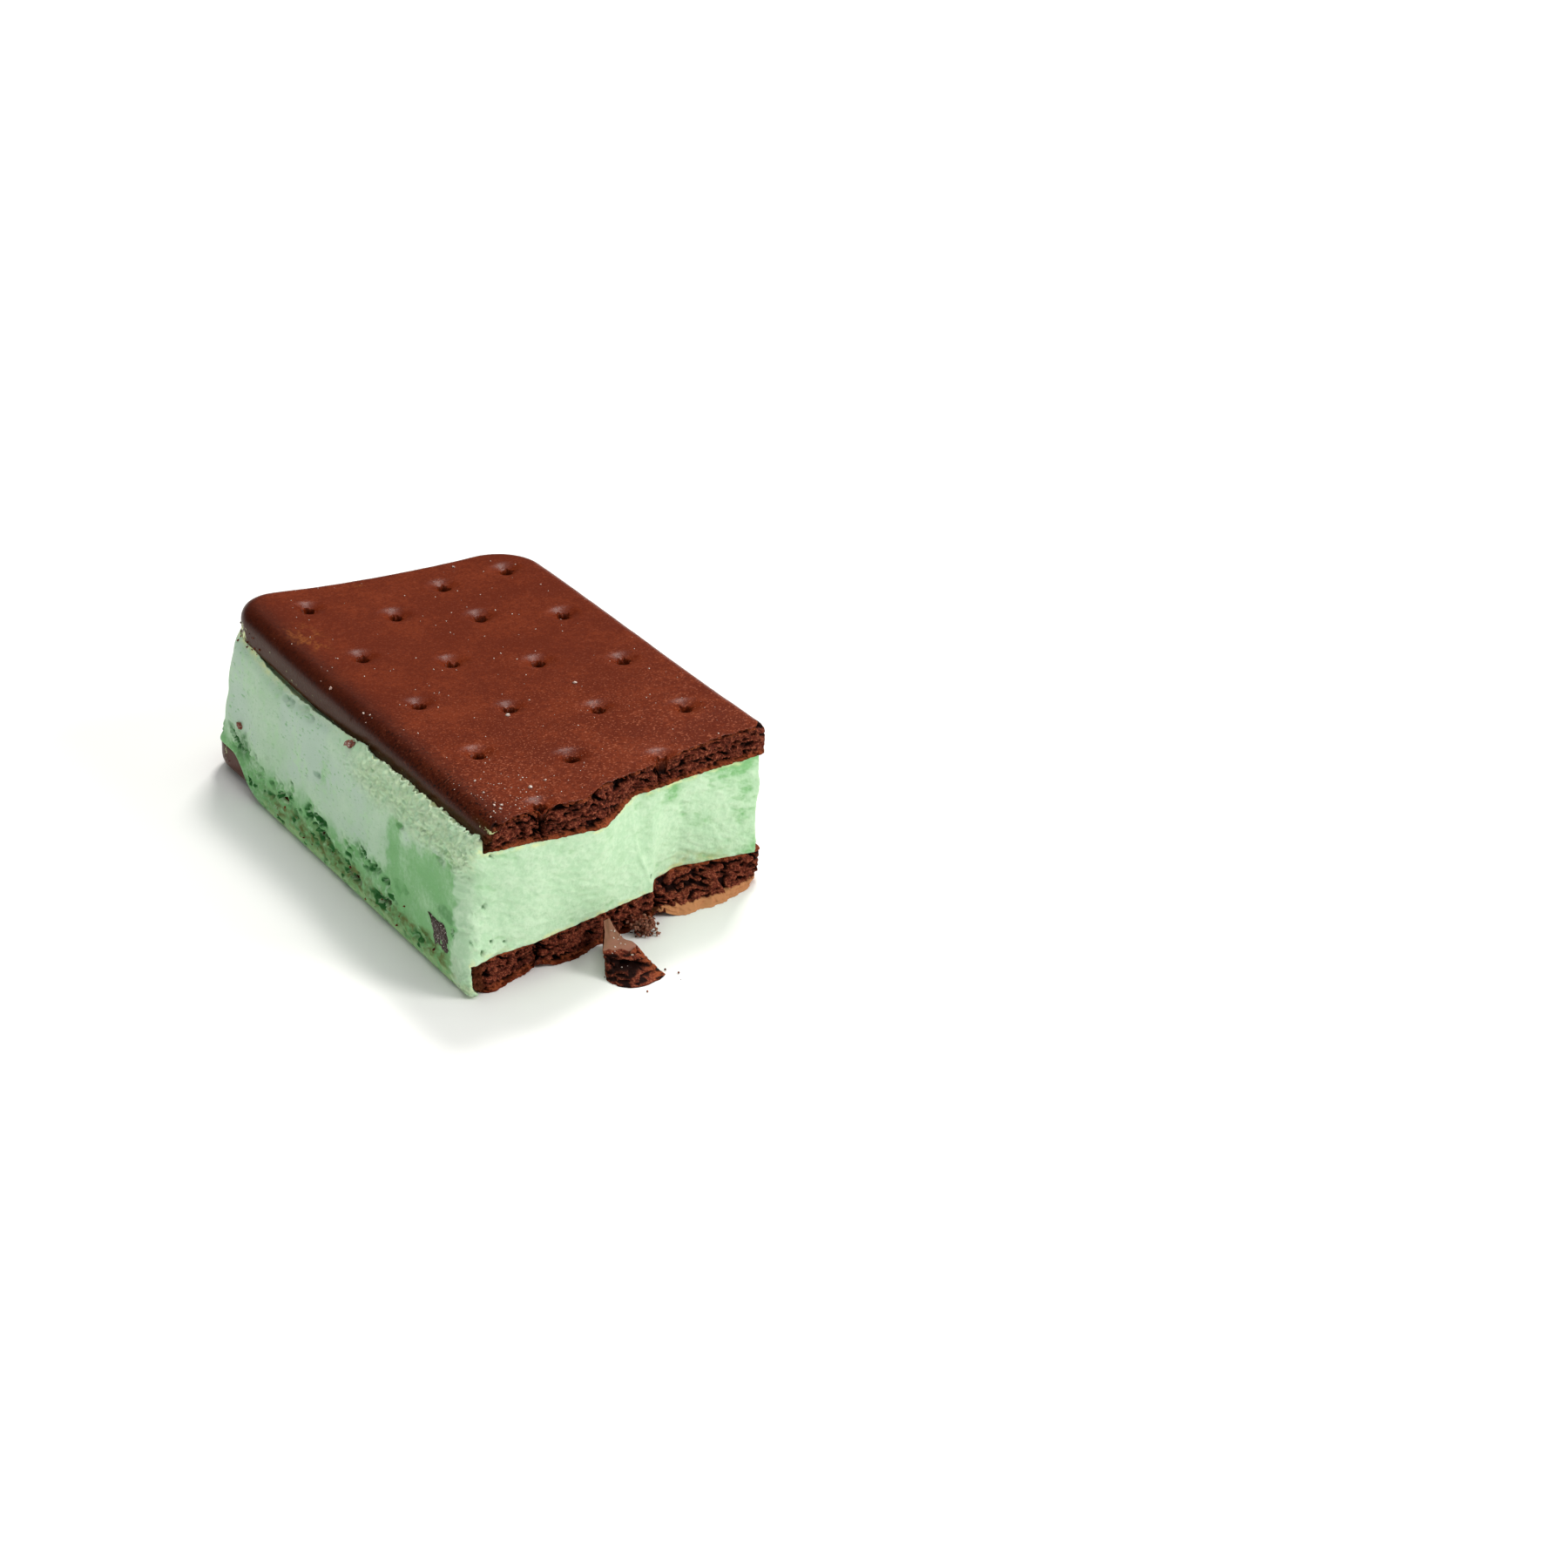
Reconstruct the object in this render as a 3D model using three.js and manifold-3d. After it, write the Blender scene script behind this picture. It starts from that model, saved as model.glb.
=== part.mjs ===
// Half of an ice cream sandwich, broken across its middle: two chocolate wafers with a thick
// layer of mint ice cream between them, and a flake of wafer that fell from the break.
// Millimetres, +Z up. X runs across the bar and Y along it, with the broken face towards -Y.
// While it is built, X = 0 is the bar's left side and Y = 0 the middle of the break.

import * as THREE from 'three';
import { mergeVertices } from 'three/addons/utils/BufferGeometryUtils.js';
import { ImprovedNoise } from 'three/addons/math/ImprovedNoise.js';
import Module from 'manifold-3d';

const wasm = await Module();
wasm.setup();

// Driving sizes
const BAR_WIDTH = 48;
const HALF_LENGTH = 77; // from the middle of the break to the baked end
const WAFER_THICKNESS = 4.8;
const ICE_CREAM_THICKNESS = 14.9;
const LAYER_GAP = 0.3;
const SKIN_EDGE_RADIUS = 2.4; // rounding where a wafer's baked skin turns down its side
const UPPER_WAFER_SAG = 0.9; // dip of the upper wafer along its middle, growing from the break to SAG_LENGTH
const SAG_LENGTH = 60;
const CORNER_CURL = 0.9; // lift of the upper wafer at its back left corner
const BREAK_CORNER_RADIUS = 1.8; // seen from above, between a wafer's break and its right side

// Levels, from the table up
const LOWER_WAFER_TOP = WAFER_THICKNESS;
const ICE_CREAM_FOOT = LOWER_WAFER_TOP + LAYER_GAP;
const ICE_CREAM_TOP = ICE_CREAM_FOOT + ICE_CREAM_THICKNESS;
const UPPER_WAFER_FOOT = ICE_CREAM_TOP + LAYER_GAP;
const TOTAL_HEIGHT = UPPER_WAFER_FOOT + WAFER_THICKNESS;

// Sides of the pieces: left and right ones at the break and at the baked end, back ones at the
// left and at the right of the bar.
const UPPER_WAFER_SIDES = {
  left: [1.4, 0.7], right: [49.7, 47.9], back: [HALF_LENGTH + 1.3, HALF_LENGTH], cornerRadius: 7.6,
};
const LOWER_WAFER_SIDES = {
  left: [-1.2, -2.5], right: [49.6, 48], back: [HALF_LENGTH + 1.2, HALF_LENGTH], cornerRadius: 5.5,
};
const ICE_CREAM_RIGHT = [48.1, 47.1];
const ICE_CREAM_BACK = HALF_LENGTH - 0.2;
const ICE_CREAM_CORNER_RADII = [3.5, 5]; // at the table and at the upper wafer

// Where the break crosses the bar: [distance from the left side, distance along the bar].
const UPPER_SKIN_BREAK = [
  [0, -7], [2.4, -5.9], [4.6, -4.5], [9.5, -3.4], [16.2, -4.1], [20.6, -1.2],
  [26, -0.1], [29.6, 1], [30.8, 2.7], [33.2, 2.1], [41.2, 3.9], [50, 4.4],
];
const UPPER_INNER_BREAK = [
  [0, -3.3], [7.6, -3.6], [17.6, -4.5], [19.7, -4], [21.5, -2.4], [26.5, 1.9], [34.5, 3.3], [50, 5],
];
const LOWER_INNER_BREAK = [
  [-2, -5.5], [3.4, -3.4], [9.1, -2.9], [18, -0.6], [30.2, 2.5], [32, 5.3], [36, 7.3], [50, 5.6],
];
const LOWER_SKIN_BREAK = [
  [-2, -4.9], [2.2, -4.4], [7.1, -2.5], [10.2, -1.9], [16.5, -1.7], [20, 0.2],
  [31, 3.1], [35, 2.2], [41, 2.6], [50, 6],
];

// Docking holes: four lines of pricks along the bar, each line set back from the one before.
const HOLE_LINES = 4;
const HOLE_LINE_SPACING = 10.6;
const FIRST_HOLE_LINE = 10.2;
const HOLE_SPACING = 18;
const HOLE_SET_BACK = HOLE_SPACING / 3;
const LAST_HOLE = 68.2;
const HOLE_LINE_SHIFTS = [1.3, 0.4, 0.3, 0.7]; // how far each line stands off that place
const HOLE_DIP_RADIUS = 2.4;
const HOLE_RADIUS = 0.75;
const HOLE_DEPTH = 2.3;
const HOLE_SIDES = 8;
const HOLE_EDGE_MARGIN = 3.2; // a prick nearer to the break than this is part of the break

// Crumb of the broken wafers
const CRUMB_ROUGHNESS = 1.1;
const CRUMB_GRAIN_ACROSS = 2.6;
const CRUMB_GRAIN_UP = 1.3;

// Ice cream smeared over the left side, past both wafers
const SMEAR_AT_TOP = [-0.9, -0.5]; // its face at the level of the upper wafer, at the break and the end
const SMEAR_AT_FOOT = [-2.6, -3.4];
const SMEAR_TUCK = 0.9; // how far its lower edge turns back under, over the first few millimetres
const SMEAR_TUCK_HEIGHT = 3;
const SMEAR_CLEARANCE = 0.4; // height of its lower edge over the table
const SMEAR_LIP = [ // its top edge: [distance along the bar, height]
  [-6, 23], [0, 22.4], [20, 22.1], [28, 21.8], [36, 21.2], [47, 20.3], [58, 20], [66, 20.7], [78, 21.7],
];
const LIP_ROUNDING = 1.2; // how far the top of the smear leans in to the upper wafer
const SMEAR_HOLLOW = 4.6; // lift of its lower edge towards the baked end, where the lower wafer shows
const SMEAR_HOLLOW_START = 60;
const SMEAR_HOLLOW_END = 70;
const CORNER_RECESS = 1.5; // how far the broken front stands back half-way up its left corner
const ICE_CREAM_ROUGHNESS = 0.45;

// Chocolate chips in the smeared side: [along the bar, up, width, height]
const CHIPS = [[3.2, 6.1, 5, 4.4], [34.4, 20.3, 3.2, 1.3], [69, 9.1, 1.2, 0.9]];
const CHIP_STAND_OUT = 0.45;

// Wafer flake lying in front of the lower wafer
const FLAKE_TIP = new THREE.Vector2(21, -1);
const FLAKE_LENGTH = 11.8;
const FLAKE_TIP_WIDTH = 1.4;
const FLAKE_END_WIDTH = 6;
const FLAKE_TIP_HEIGHT = 4.4;
const FLAKE_END_HEIGHT = 2.9;
const FLAKE_BEND = 1.5;
const FLAKE_END_SLOPE = 4.2; // how far its crumbled end leans back from the table
const FLAKE_LOBE = 1.2; // how far the right corner of its crumbled end sticks out

const WAFER_GRID = { columns: 30, rows: 12, layers: 4 };
const ICE_CREAM_GRID = { columns: 26, rows: 34, layers: 11 };
const ROOM_GRID = { columns: 20, rows: 8, layers: 1 };
const FLAKE_GRID = { columns: 6, rows: 12, layers: 3 };

const { clamp, lerp, mapLinear, smoothstep } = THREE.MathUtils;
const noise = new ImprovedNoise();

// Place of a break line at x, between its key points and level beyond its ends.
function alongLine(line, x) {
  const last = line.length - 1;
  const inside = clamp(x, line[0][0], line[last][0]);
  const next = Math.max(1, line.findIndex((key) => key[0] >= inside));
  const [startX, startY] = line[next - 1];
  const [endX, endY] = line[next];
  return mapLinear(inside, startX, endX, startY, endY);
}

// A side that stands at one place at the break and at another at the baked end.
function sideAt([atBreak, atEnd], y) {
  return lerp(atBreak, atEnd, clamp(y / HALF_LENGTH, 0, 1));
}

// The baked end of a wafer, which isn't quite square to its sides.
function backAt([atLeft, atRight], x) {
  return lerp(atLeft, atRight, clamp(x / BAR_WIDTH, 0, 1));
}

// Half-way along a row the spacing is widest, so that both ends of the bar get fine rows.
function denseAtEnds(fraction) {
  const crowding = 0.8;
  return fraction - (crowding * Math.sin(2 * Math.PI * fraction)) / (2 * Math.PI);
}

// How far a face stands back at that distance from an edge with a rounding.
function roundedEdge(distance, radius) {
  const turn = clamp(radius - distance, 0, radius);
  return radius - Math.sqrt(radius ** 2 - turn ** 2);
}

// Depth of crumb relief at a point of a broken face, always into the wafer.
function crumbRelief(x, z, seed) {
  const coarse = noise.noise(x / CRUMB_GRAIN_ACROSS, z / CRUMB_GRAIN_UP, seed);
  const fine = noise.noise((2.3 * x) / CRUMB_GRAIN_ACROSS, (2 * z) / CRUMB_GRAIN_UP, seed + 7);
  return CRUMB_ROUGHNESS * (0.5 + coarse + 0.5 * fine);
}

// A block of the unit cube's grid, each of its points moved by place(u, v, w).
function griddedBlock(grid, place) {
  const geometry = new THREE.BoxGeometry(1, 1, 1, grid.columns, grid.rows, grid.layers);
  const position = geometry.getAttribute('position');
  for (let i = 0; i < position.count; i += 1) {
    const u = position.getX(i) + 0.5;
    const v = position.getY(i) + 0.5;
    const w = position.getZ(i) + 0.5;
    const placed = place(u, v, w);
    position.setXYZ(i, placed.x, placed.y, placed.z);
  }
  return geometry;
}

// A closed geometry as a solid for cutting and joining.
function solidOf(geometry) {
  const bare = geometry.clone();
  bare.deleteAttribute('normal');
  bare.deleteAttribute('uv');
  const merged = mergeVertices(bare, 1e-4);
  const index = merged.getIndex().array;
  const triangles = [];
  for (let i = 0; i < index.length; i += 3) {
    const [a, b, c] = [index[i], index[i + 1], index[i + 2]];
    if (a !== b && b !== c && c !== a) triangles.push(a, b, c);
  }
  return new wasm.Manifold(new wasm.Mesh({
    numProp: 3,
    vertProperties: Float32Array.from(merged.getAttribute('position').array),
    triVerts: Uint32Array.from(triangles),
  }));
}

function geometryOf(solid) {
  const mesh = solid.getMesh();
  const geometry = new THREE.BufferGeometry();
  geometry.setAttribute('position', new THREE.BufferAttribute(mesh.vertProperties, 3));
  geometry.setIndex(new THREE.BufferAttribute(mesh.triVerts, 1));
  geometry.computeVertexNormals();
  return geometry;
}

// Rounds the two back corners of a plan: a point in a corner's square moves onto its quarter disc.
function roundBackCorners(point, left, right, back, radius) {
  const side = point.x < (left + right) / 2 ? -1 : 1;
  const centreX = side < 0 ? left + radius : right - radius;
  const centreY = back - radius;
  const across = ((point.x - centreX) * side) / radius;
  const along = (point.y - centreY) / radius;
  if (across <= 0 || along <= 0) return;
  point.x = centreX + side * radius * across * Math.sqrt(1 - (along * along) / 2);
  point.y = centreY + radius * along * Math.sqrt(1 - (across * across) / 2);
}

// How far the upper wafer lies under its flat height at a point of the bar.
function upperWaferDrop(x, y) {
  const across = clamp(x / BAR_WIDTH, 0, 1);
  const towardsCorner = (1 - across) ** 1.5 * smoothstep(y, HALF_LENGTH * 0.6, HALF_LENGTH);
  const sag = UPPER_WAFER_SAG * Math.sin(Math.PI * across) * smoothstep(y, 0, SAG_LENGTH);
  return sag - CORNER_CURL * towardsCorner;
}

// One wafer. The skin is its baked outer face, up on the upper wafer and down on the lower one.
function waferBlock({ sides, skinUp, skinBreak, innerBreak, seed }) {
  return griddedBlock(WAFER_GRID, (u, v, w) => {
    const skinward = skinUp ? 1 - w : w;
    const depth = WAFER_THICKNESS * (1 - Math.cos((skinward * Math.PI) / 2));
    const inset = roundedEdge(depth, SKIN_EDGE_RADIUS);
    const left = sideAt(sides.left, HALF_LENGTH * v) + inset;
    const right = sideAt(sides.right, HALF_LENGTH * v) - inset;
    const x = lerp(left, right, u);
    const back = backAt(sides.back, x) - inset;
    const inner = depth / WAFER_THICKNESS;
    const bodyOfCrumb = Math.sin(Math.PI * clamp(inner, 0.08, 0.94));
    const broken = lerp(alongLine(skinBreak, x), alongLine(innerBreak, x), inner);
    const rounding = roundedEdge(right - x, BREAK_CORNER_RADIUS);
    const front = broken + rounding + bodyOfCrumb * crumbRelief(x, depth, seed);
    const point = new THREE.Vector3(x, lerp(front, back, denseAtEnds(v)), 0);
    roundBackCorners(point, left, right, back, sides.cornerRadius - inset);
    point.z = skinUp ? TOTAL_HEIGHT - depth - upperWaferDrop(point.x, point.y) : depth;
    return point;
  });
}

// A prick: a wide shallow dip with a narrow pit at its middle, open upwards.
function prickGeometry() {
  const profile = [
    [0, -HOLE_DEPTH], [HOLE_RADIUS * 0.7, -HOLE_DEPTH], [HOLE_RADIUS, -0.7],
    [HOLE_DIP_RADIUS, 0.02], [HOLE_DIP_RADIUS, 1], [0, 1],
  ];
  const lathe = new THREE.LatheGeometry(profile.map(([r, z]) => new THREE.Vector2(r, z)), HOLE_SIDES);
  return lathe.rotateX(Math.PI / 2);
}

// Places of the pricks, measured like the break lines.
function prickPlaces(skinBreak) {
  const places = [];
  for (let line = 0; line < HOLE_LINES; line += 1) {
    const x = FIRST_HOLE_LINE + line * HOLE_LINE_SPACING;
    for (let row = -1; row < HALF_LENGTH / HOLE_SPACING; row += 1) {
      const y = Math.min(LAST_HOLE, LAST_HOLE - line * HOLE_SET_BACK - row * HOLE_SPACING);
      const isDoubled = row === -1 && LAST_HOLE - line * HOLE_SET_BACK + HOLE_SPACING > HALF_LENGTH;
      const shifted = y + HOLE_LINE_SHIFTS[line];
      if (!isDoubled && shifted > alongLine(skinBreak, x) + HOLE_EDGE_MARGIN) places.push([x, shifted]);
    }
  }
  return places;
}

function withPricks(geometry, { skinUp, skinBreak }) {
  let solid = solidOf(geometry);
  for (const [x, y] of prickPlaces(skinBreak)) {
    const prick = prickGeometry();
    if (!skinUp) prick.rotateX(Math.PI);
    prick.translate(x, y, skinUp ? TOTAL_HEIGHT - upperWaferDrop(x, y) : 0);
    solid = solid.subtract(solidOf(prick));
  }
  return geometryOf(solid);
}

// The room that a wafer takes in the ice cream: its plan and one gap more, and out past the
// break, the right side and its own skin.
function waferRoom({ sides, skinUp }) {
  const reach = 12;
  const right = BAR_WIDTH + reach;
  return solidOf(griddedBlock(ROOM_GRID, (u, v, w) => {
    const left = sideAt(sides.left, HALF_LENGTH * v) - LAYER_GAP;
    const x = lerp(left, right, u);
    const back = backAt(sides.back, x) + LAYER_GAP;
    const point = new THREE.Vector3(x, lerp(-2 * reach, back, denseAtEnds(v)), 0);
    roundBackCorners(point, left, right, back, sides.cornerRadius + LAYER_GAP);
    const drop = skinUp ? upperWaferDrop(point.x, point.y) : 0;
    point.z = skinUp ? lerp(ICE_CREAM_TOP - drop, TOTAL_HEIGHT + reach, w) : lerp(-reach, ICE_CREAM_FOOT, w);
    return point;
  }));
}

function smearLipTop(y) {
  return alongLine(SMEAR_LIP, y) + 0.3 * noise.noise(y / 3.1, 0.5, 2.5);
}

// Left face of the smear at a height: it leans out towards the table, and in at its top.
function smearFace(y, z) {
  const up = clamp(z / ICE_CREAM_TOP, 0, 1);
  const tuck = SMEAR_TUCK * Math.max(0, 1 - z / SMEAR_TUCK_HEIGHT) ** 2;
  const body = Math.sin(Math.PI * clamp(up, 0.1, 0.9));
  const waves = noise.noise(y / 7, z / 4.5, 3.5) + 0.6 * noise.noise(y / 2.9, z / 2.4, 8.5);
  const face = lerp(sideAt(SMEAR_AT_FOOT, y), sideAt(SMEAR_AT_TOP, y), up);
  const lip = smearLipTop(y);
  const lean = LIP_ROUNDING * smoothstep(z, lip - 2.6, lip + 0.3) ** 2;
  return face + tuck + lean + ICE_CREAM_ROUGHNESS * body * waves;
}

function smearFoot(y) {
  return SMEAR_CLEARANCE + SMEAR_HOLLOW * smoothstep(y, SMEAR_HOLLOW_START, SMEAR_HOLLOW_END);
}

// Broken front face of the ice cream, between the inner break lines of both wafers.
function iceCreamFront(x, z) {
  const up = clamp((z - LOWER_WAFER_TOP) / (UPPER_WAFER_FOOT - LOWER_WAFER_TOP), 0, 1);
  const plain = lerp(alongLine(LOWER_INNER_BREAK, x), alongLine(UPPER_INNER_BREAK, x), up);
  const body = Math.sin(Math.PI * clamp(up, 0.1, 0.9));
  const recess = CORNER_RECESS * Math.sin(Math.PI * up) * (1 - smoothstep(x, -2, 9));
  return plain + recess + ICE_CREAM_ROUGHNESS * body * noise.noise(x / 5.5, z / 4, 5.5);
}

function iceCreamBlock() {
  return griddedBlock(ICE_CREAM_GRID, (u, v, w) => {
    const roughY = lerp(-4, HALF_LENGTH, denseAtEnds(v));
    const top = lerp(smearLipTop(roughY), UPPER_WAFER_FOOT + 1, smoothstep(u, 0, 1 / ICE_CREAM_GRID.columns));
    const z = lerp(smearFoot(roughY), top, w);
    const left = smearFace(roughY, z);
    const right = sideAt(ICE_CREAM_RIGHT, roughY) + ICE_CREAM_ROUGHNESS * noise.noise(roughY / 6, z / 4, 1.5);
    const x = lerp(left, right, u);
    const back = ICE_CREAM_BACK + ICE_CREAM_ROUGHNESS * noise.noise(x / 6, z / 4, 6.5);
    const point = new THREE.Vector3(x, lerp(iceCreamFront(x, z), back, denseAtEnds(v)), z);
    const radius = lerp(...ICE_CREAM_CORNER_RADII, clamp(z / ICE_CREAM_TOP, 0, 1));
    roundBackCorners(point, left, right, back, radius);
    return point;
  });
}

// A chip of chocolate: a rough twelve-faced lump, half sunk in the smeared side.
function chipSolid([y, z, width, height]) {
  const chip = new THREE.DodecahedronGeometry(0.5);
  chip.scale(2 * CHIP_STAND_OUT + 0.8, width, height);
  chip.rotateX(0.25);
  chip.translate(smearFace(y, z) - CHIP_STAND_OUT + 0.6, y, z);
  return solidOf(chip);
}

function iceCreamGeometry(wafers) {
  let solid = solidOf(iceCreamBlock());
  for (const chip of CHIPS) solid = solid.add(chipSolid(chip));
  for (const wafer of wafers) solid = solid.subtract(waferRoom(wafer));
  return geometryOf(solid);
}

// The flake: a shard with a narrow tip at the break and a wide crumbled end.
function flakeGeometry() {
  return griddedBlock(FLAKE_GRID, (u, v, w) => {
    const out = 1 - v; // 0 at the tip, 1 at the crumbled end
    const side = 2 * u - 1;
    const spread = smoothstep(out, 0, 0.9);
    const halfWidth = (lerp(FLAKE_TIP_WIDTH, FLAKE_END_WIDTH, spread) / 2) * lerp(1, 0.85, w);
    const lobe = FLAKE_LOBE * smoothstep(side, 0.2, 1) * smoothstep(out, 0.72, 0.95) * (1 - w);
    const hollow = out ** 4 * Math.sin(Math.PI * u) * Math.sin(Math.PI * w);
    const crumble = 0.5 * out * noise.noise(u * 3, w * 3, 4.5);
    const corners = 1.5 * smoothstep(out, 0.7, 1) * Math.abs(side) ** 2.5;
    const x = FLAKE_TIP.x - FLAKE_BEND * Math.sin(Math.PI * out * 0.85) + side * halfWidth + lobe;
    const slope = FLAKE_END_SLOPE * out * out * w;
    const y = FLAKE_TIP.y - out * FLAKE_LENGTH + slope + corners + hollow + crumble;
    const height = lerp(FLAKE_TIP_HEIGHT, FLAKE_END_HEIGHT, out) + 0.3 * noise.noise(u * 2, out * 4, 9.5);
    return new THREE.Vector3(x, y, w * height);
  });
}

function finish(color, roughness) {
  return new THREE.MeshStandardMaterial({ color, roughness, metalness: 0 });
}

const upperWafer = {
  sides: UPPER_WAFER_SIDES,
  skinUp: true,
  skinBreak: UPPER_SKIN_BREAK,
  innerBreak: UPPER_INNER_BREAK,
  seed: 11.5,
};
const lowerWafer = {
  sides: LOWER_WAFER_SIDES,
  skinUp: false,
  skinBreak: LOWER_SKIN_BREAK,
  innerBreak: LOWER_INNER_BREAK,
  seed: 14.5,
};

const pieces = [
  ['wafer_top', withPricks(waferBlock(upperWafer), upperWafer), finish(0x6c2f1d, 0.55)],
  ['ice_cream', iceCreamGeometry([upperWafer, lowerWafer]), finish(0xbfe3b7, 0.7)],
  ['wafer_bottom', withPricks(waferBlock(lowerWafer), lowerWafer), finish(0x6c2f1d, 0.6)],
  ['wafer_flake', flakeGeometry(), finish(0x6a3d2c, 0.7)],
];

const sandwich = new THREE.Group();
for (const [name, geometry, material] of pieces) {
  const mesh = new THREE.Mesh(geometry, material);
  mesh.name = name;
  sandwich.add(mesh);
}

// The origin is the middle of the whole outline, on the table.
const outline = new THREE.Box3().setFromObject(sandwich);
const middle = outline.getCenter(new THREE.Vector3());
sandwich.position.set(-middle.x, -middle.y, 0);

export default sandwich;
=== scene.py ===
"""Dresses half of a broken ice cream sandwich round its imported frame.

Shapes are worked out in millimetres from the bar's left side (X = 0), the middle of the break
(Y = 0) and the table (Z = 0), and moved into the frame, in metres, when a piece is finished.
"""

import math
import random
from collections import namedtuple

import bmesh
import bpy
from bpy.props import FloatProperty, FloatVectorProperty, IntProperty, PointerProperty
from mathutils import Matrix, Vector, noise
from mathutils.bvhtree import BVHTree


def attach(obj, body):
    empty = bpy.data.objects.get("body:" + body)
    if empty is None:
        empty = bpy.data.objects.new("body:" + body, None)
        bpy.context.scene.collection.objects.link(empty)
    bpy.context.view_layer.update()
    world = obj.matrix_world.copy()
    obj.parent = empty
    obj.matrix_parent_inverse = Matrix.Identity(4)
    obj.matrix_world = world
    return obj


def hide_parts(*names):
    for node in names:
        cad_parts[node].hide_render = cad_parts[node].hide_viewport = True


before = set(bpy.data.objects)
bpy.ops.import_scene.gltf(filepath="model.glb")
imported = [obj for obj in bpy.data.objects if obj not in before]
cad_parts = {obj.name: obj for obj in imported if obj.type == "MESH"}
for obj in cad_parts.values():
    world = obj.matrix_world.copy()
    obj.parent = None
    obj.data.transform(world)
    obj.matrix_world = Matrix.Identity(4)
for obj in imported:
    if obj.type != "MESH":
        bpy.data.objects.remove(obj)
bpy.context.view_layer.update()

bl_info = {
    "name": "Ice Cream Sandwich",
    "version": (1, 0, 0),
    "blender": (4, 5, 0),
    "location": "3D View > Sidebar > Sandwich",
    "description": "Builds a broken mint ice cream sandwich with chocolate wafers",
    "category": "Add Mesh",
}

MM = 0.001
BODY = "root"

# Where the bar's left side and the middle of the break lie in the frame, in millimetres.
LEFT_SIDE_X = -23.4042
BREAK_Y = -32.5866
TO_FRAME = Matrix.Scale(MM, 4) @ Matrix.Translation((LEFT_SIDE_X, BREAK_Y, 0))

# Driving sizes
BAR_WIDTH = 48
HALF_LENGTH = 77
WAFER_THICKNESS = 4.8
ICE_CREAM_THICKNESS = 14.9
LAYER_GAP = 0.3
SKIN_EDGE_RADIUS = 2.4
UPPER_WAFER_SAG = 0.9
SAG_LENGTH = 60  # from the break to where the sag is full
CORNER_CURL = 0.9

# Levels, from the table up
LOWER_WAFER_TOP = WAFER_THICKNESS
ICE_CREAM_TOP = LOWER_WAFER_TOP + LAYER_GAP + ICE_CREAM_THICKNESS
UPPER_WAFER_FOOT = ICE_CREAM_TOP + LAYER_GAP
TOTAL_HEIGHT = UPPER_WAFER_FOOT + WAFER_THICKNESS

# Sides of a wafer: left and right ones at the break and at the baked end, the back one at the
# left and at the right. Break lines are [distance from the left side, distance along the bar].
Wafer = namedtuple("Wafer", "left right back corner_radius skin_up skin_break inner_break seed")
UPPER_WAFER = Wafer(
    left=(1.4, 0.7), right=(49.7, 47.9), back=(HALF_LENGTH + 1.3, HALF_LENGTH), corner_radius=7.6,
    skin_up=True,
    skin_break=(
        (0, -7), (2.4, -5.9), (4.6, -4.5), (9.5, -3.4), (16.2, -4.1), (20.6, -1.2),
        (26, -0.1), (29.6, 1), (30.8, 2.7), (33.2, 2.1), (41.2, 3.9), (50, 4.4),
    ),
    inner_break=(
        (0, -3.3), (7.6, -3.6), (17.6, -4.5), (19.7, -4), (21.5, -2.4), (26.5, 1.9), (34.5, 3.3),
        (50, 5),
    ),
    seed=11.5,
)
LOWER_WAFER = Wafer(
    left=(-1.2, -2.5), right=(49.6, 48), back=(HALF_LENGTH + 1.2, HALF_LENGTH), corner_radius=5.5,
    skin_up=False,
    skin_break=(
        (-2, -4.9), (2.2, -4.4), (7.1, -2.5), (10.2, -1.9), (16.5, -1.7), (20, 0.2),
        (31, 3.1), (35, 2.2), (41, 2.6), (50, 6),
    ),
    inner_break=(
        (-2, -5.5), (3.4, -3.4), (9.1, -2.9), (18, -0.6), (30.2, 2.5), (32, 5.3), (36, 7.3),
        (50, 5.6),
    ),
    seed=14.5,
)

# Docking holes: four lines of pricks along the bar, each line set back from the one before.
HOLE_LINES = 4
HOLE_LINE_SPACING = 10.6
FIRST_HOLE_LINE = 10.2
HOLE_SPACING = 18
HOLE_SET_BACK = HOLE_SPACING / 3
LAST_HOLE = 68.2
HOLE_LINE_SHIFTS = (1.3, 0.4, 0.3, 0.7)  # how much further back each line really lies
DIP_RADIUS = 3.3
PIT_RADIUS = 1.1

# Ice cream and the smear over its left side
ICE_CREAM_RIGHT = (48.1, 47.1)
ICE_CREAM_BACK = HALF_LENGTH - 0.2
ICE_CREAM_CORNER_RADII = (3.5, 5)
SMEAR_AT_TOP = (-0.9, -0.5)
SMEAR_AT_FOOT = (-2.6, -3.4)
SMEAR_TUCK = 0.9  # how far its foot turns in
SMEAR_TUCK_HEIGHT = 3
SMEAR_CLEARANCE = 0.4  # how far its foot stays above the table
SMEAR_REACH = 4  # faces to the left that lie further in than this belong to no smear
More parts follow.
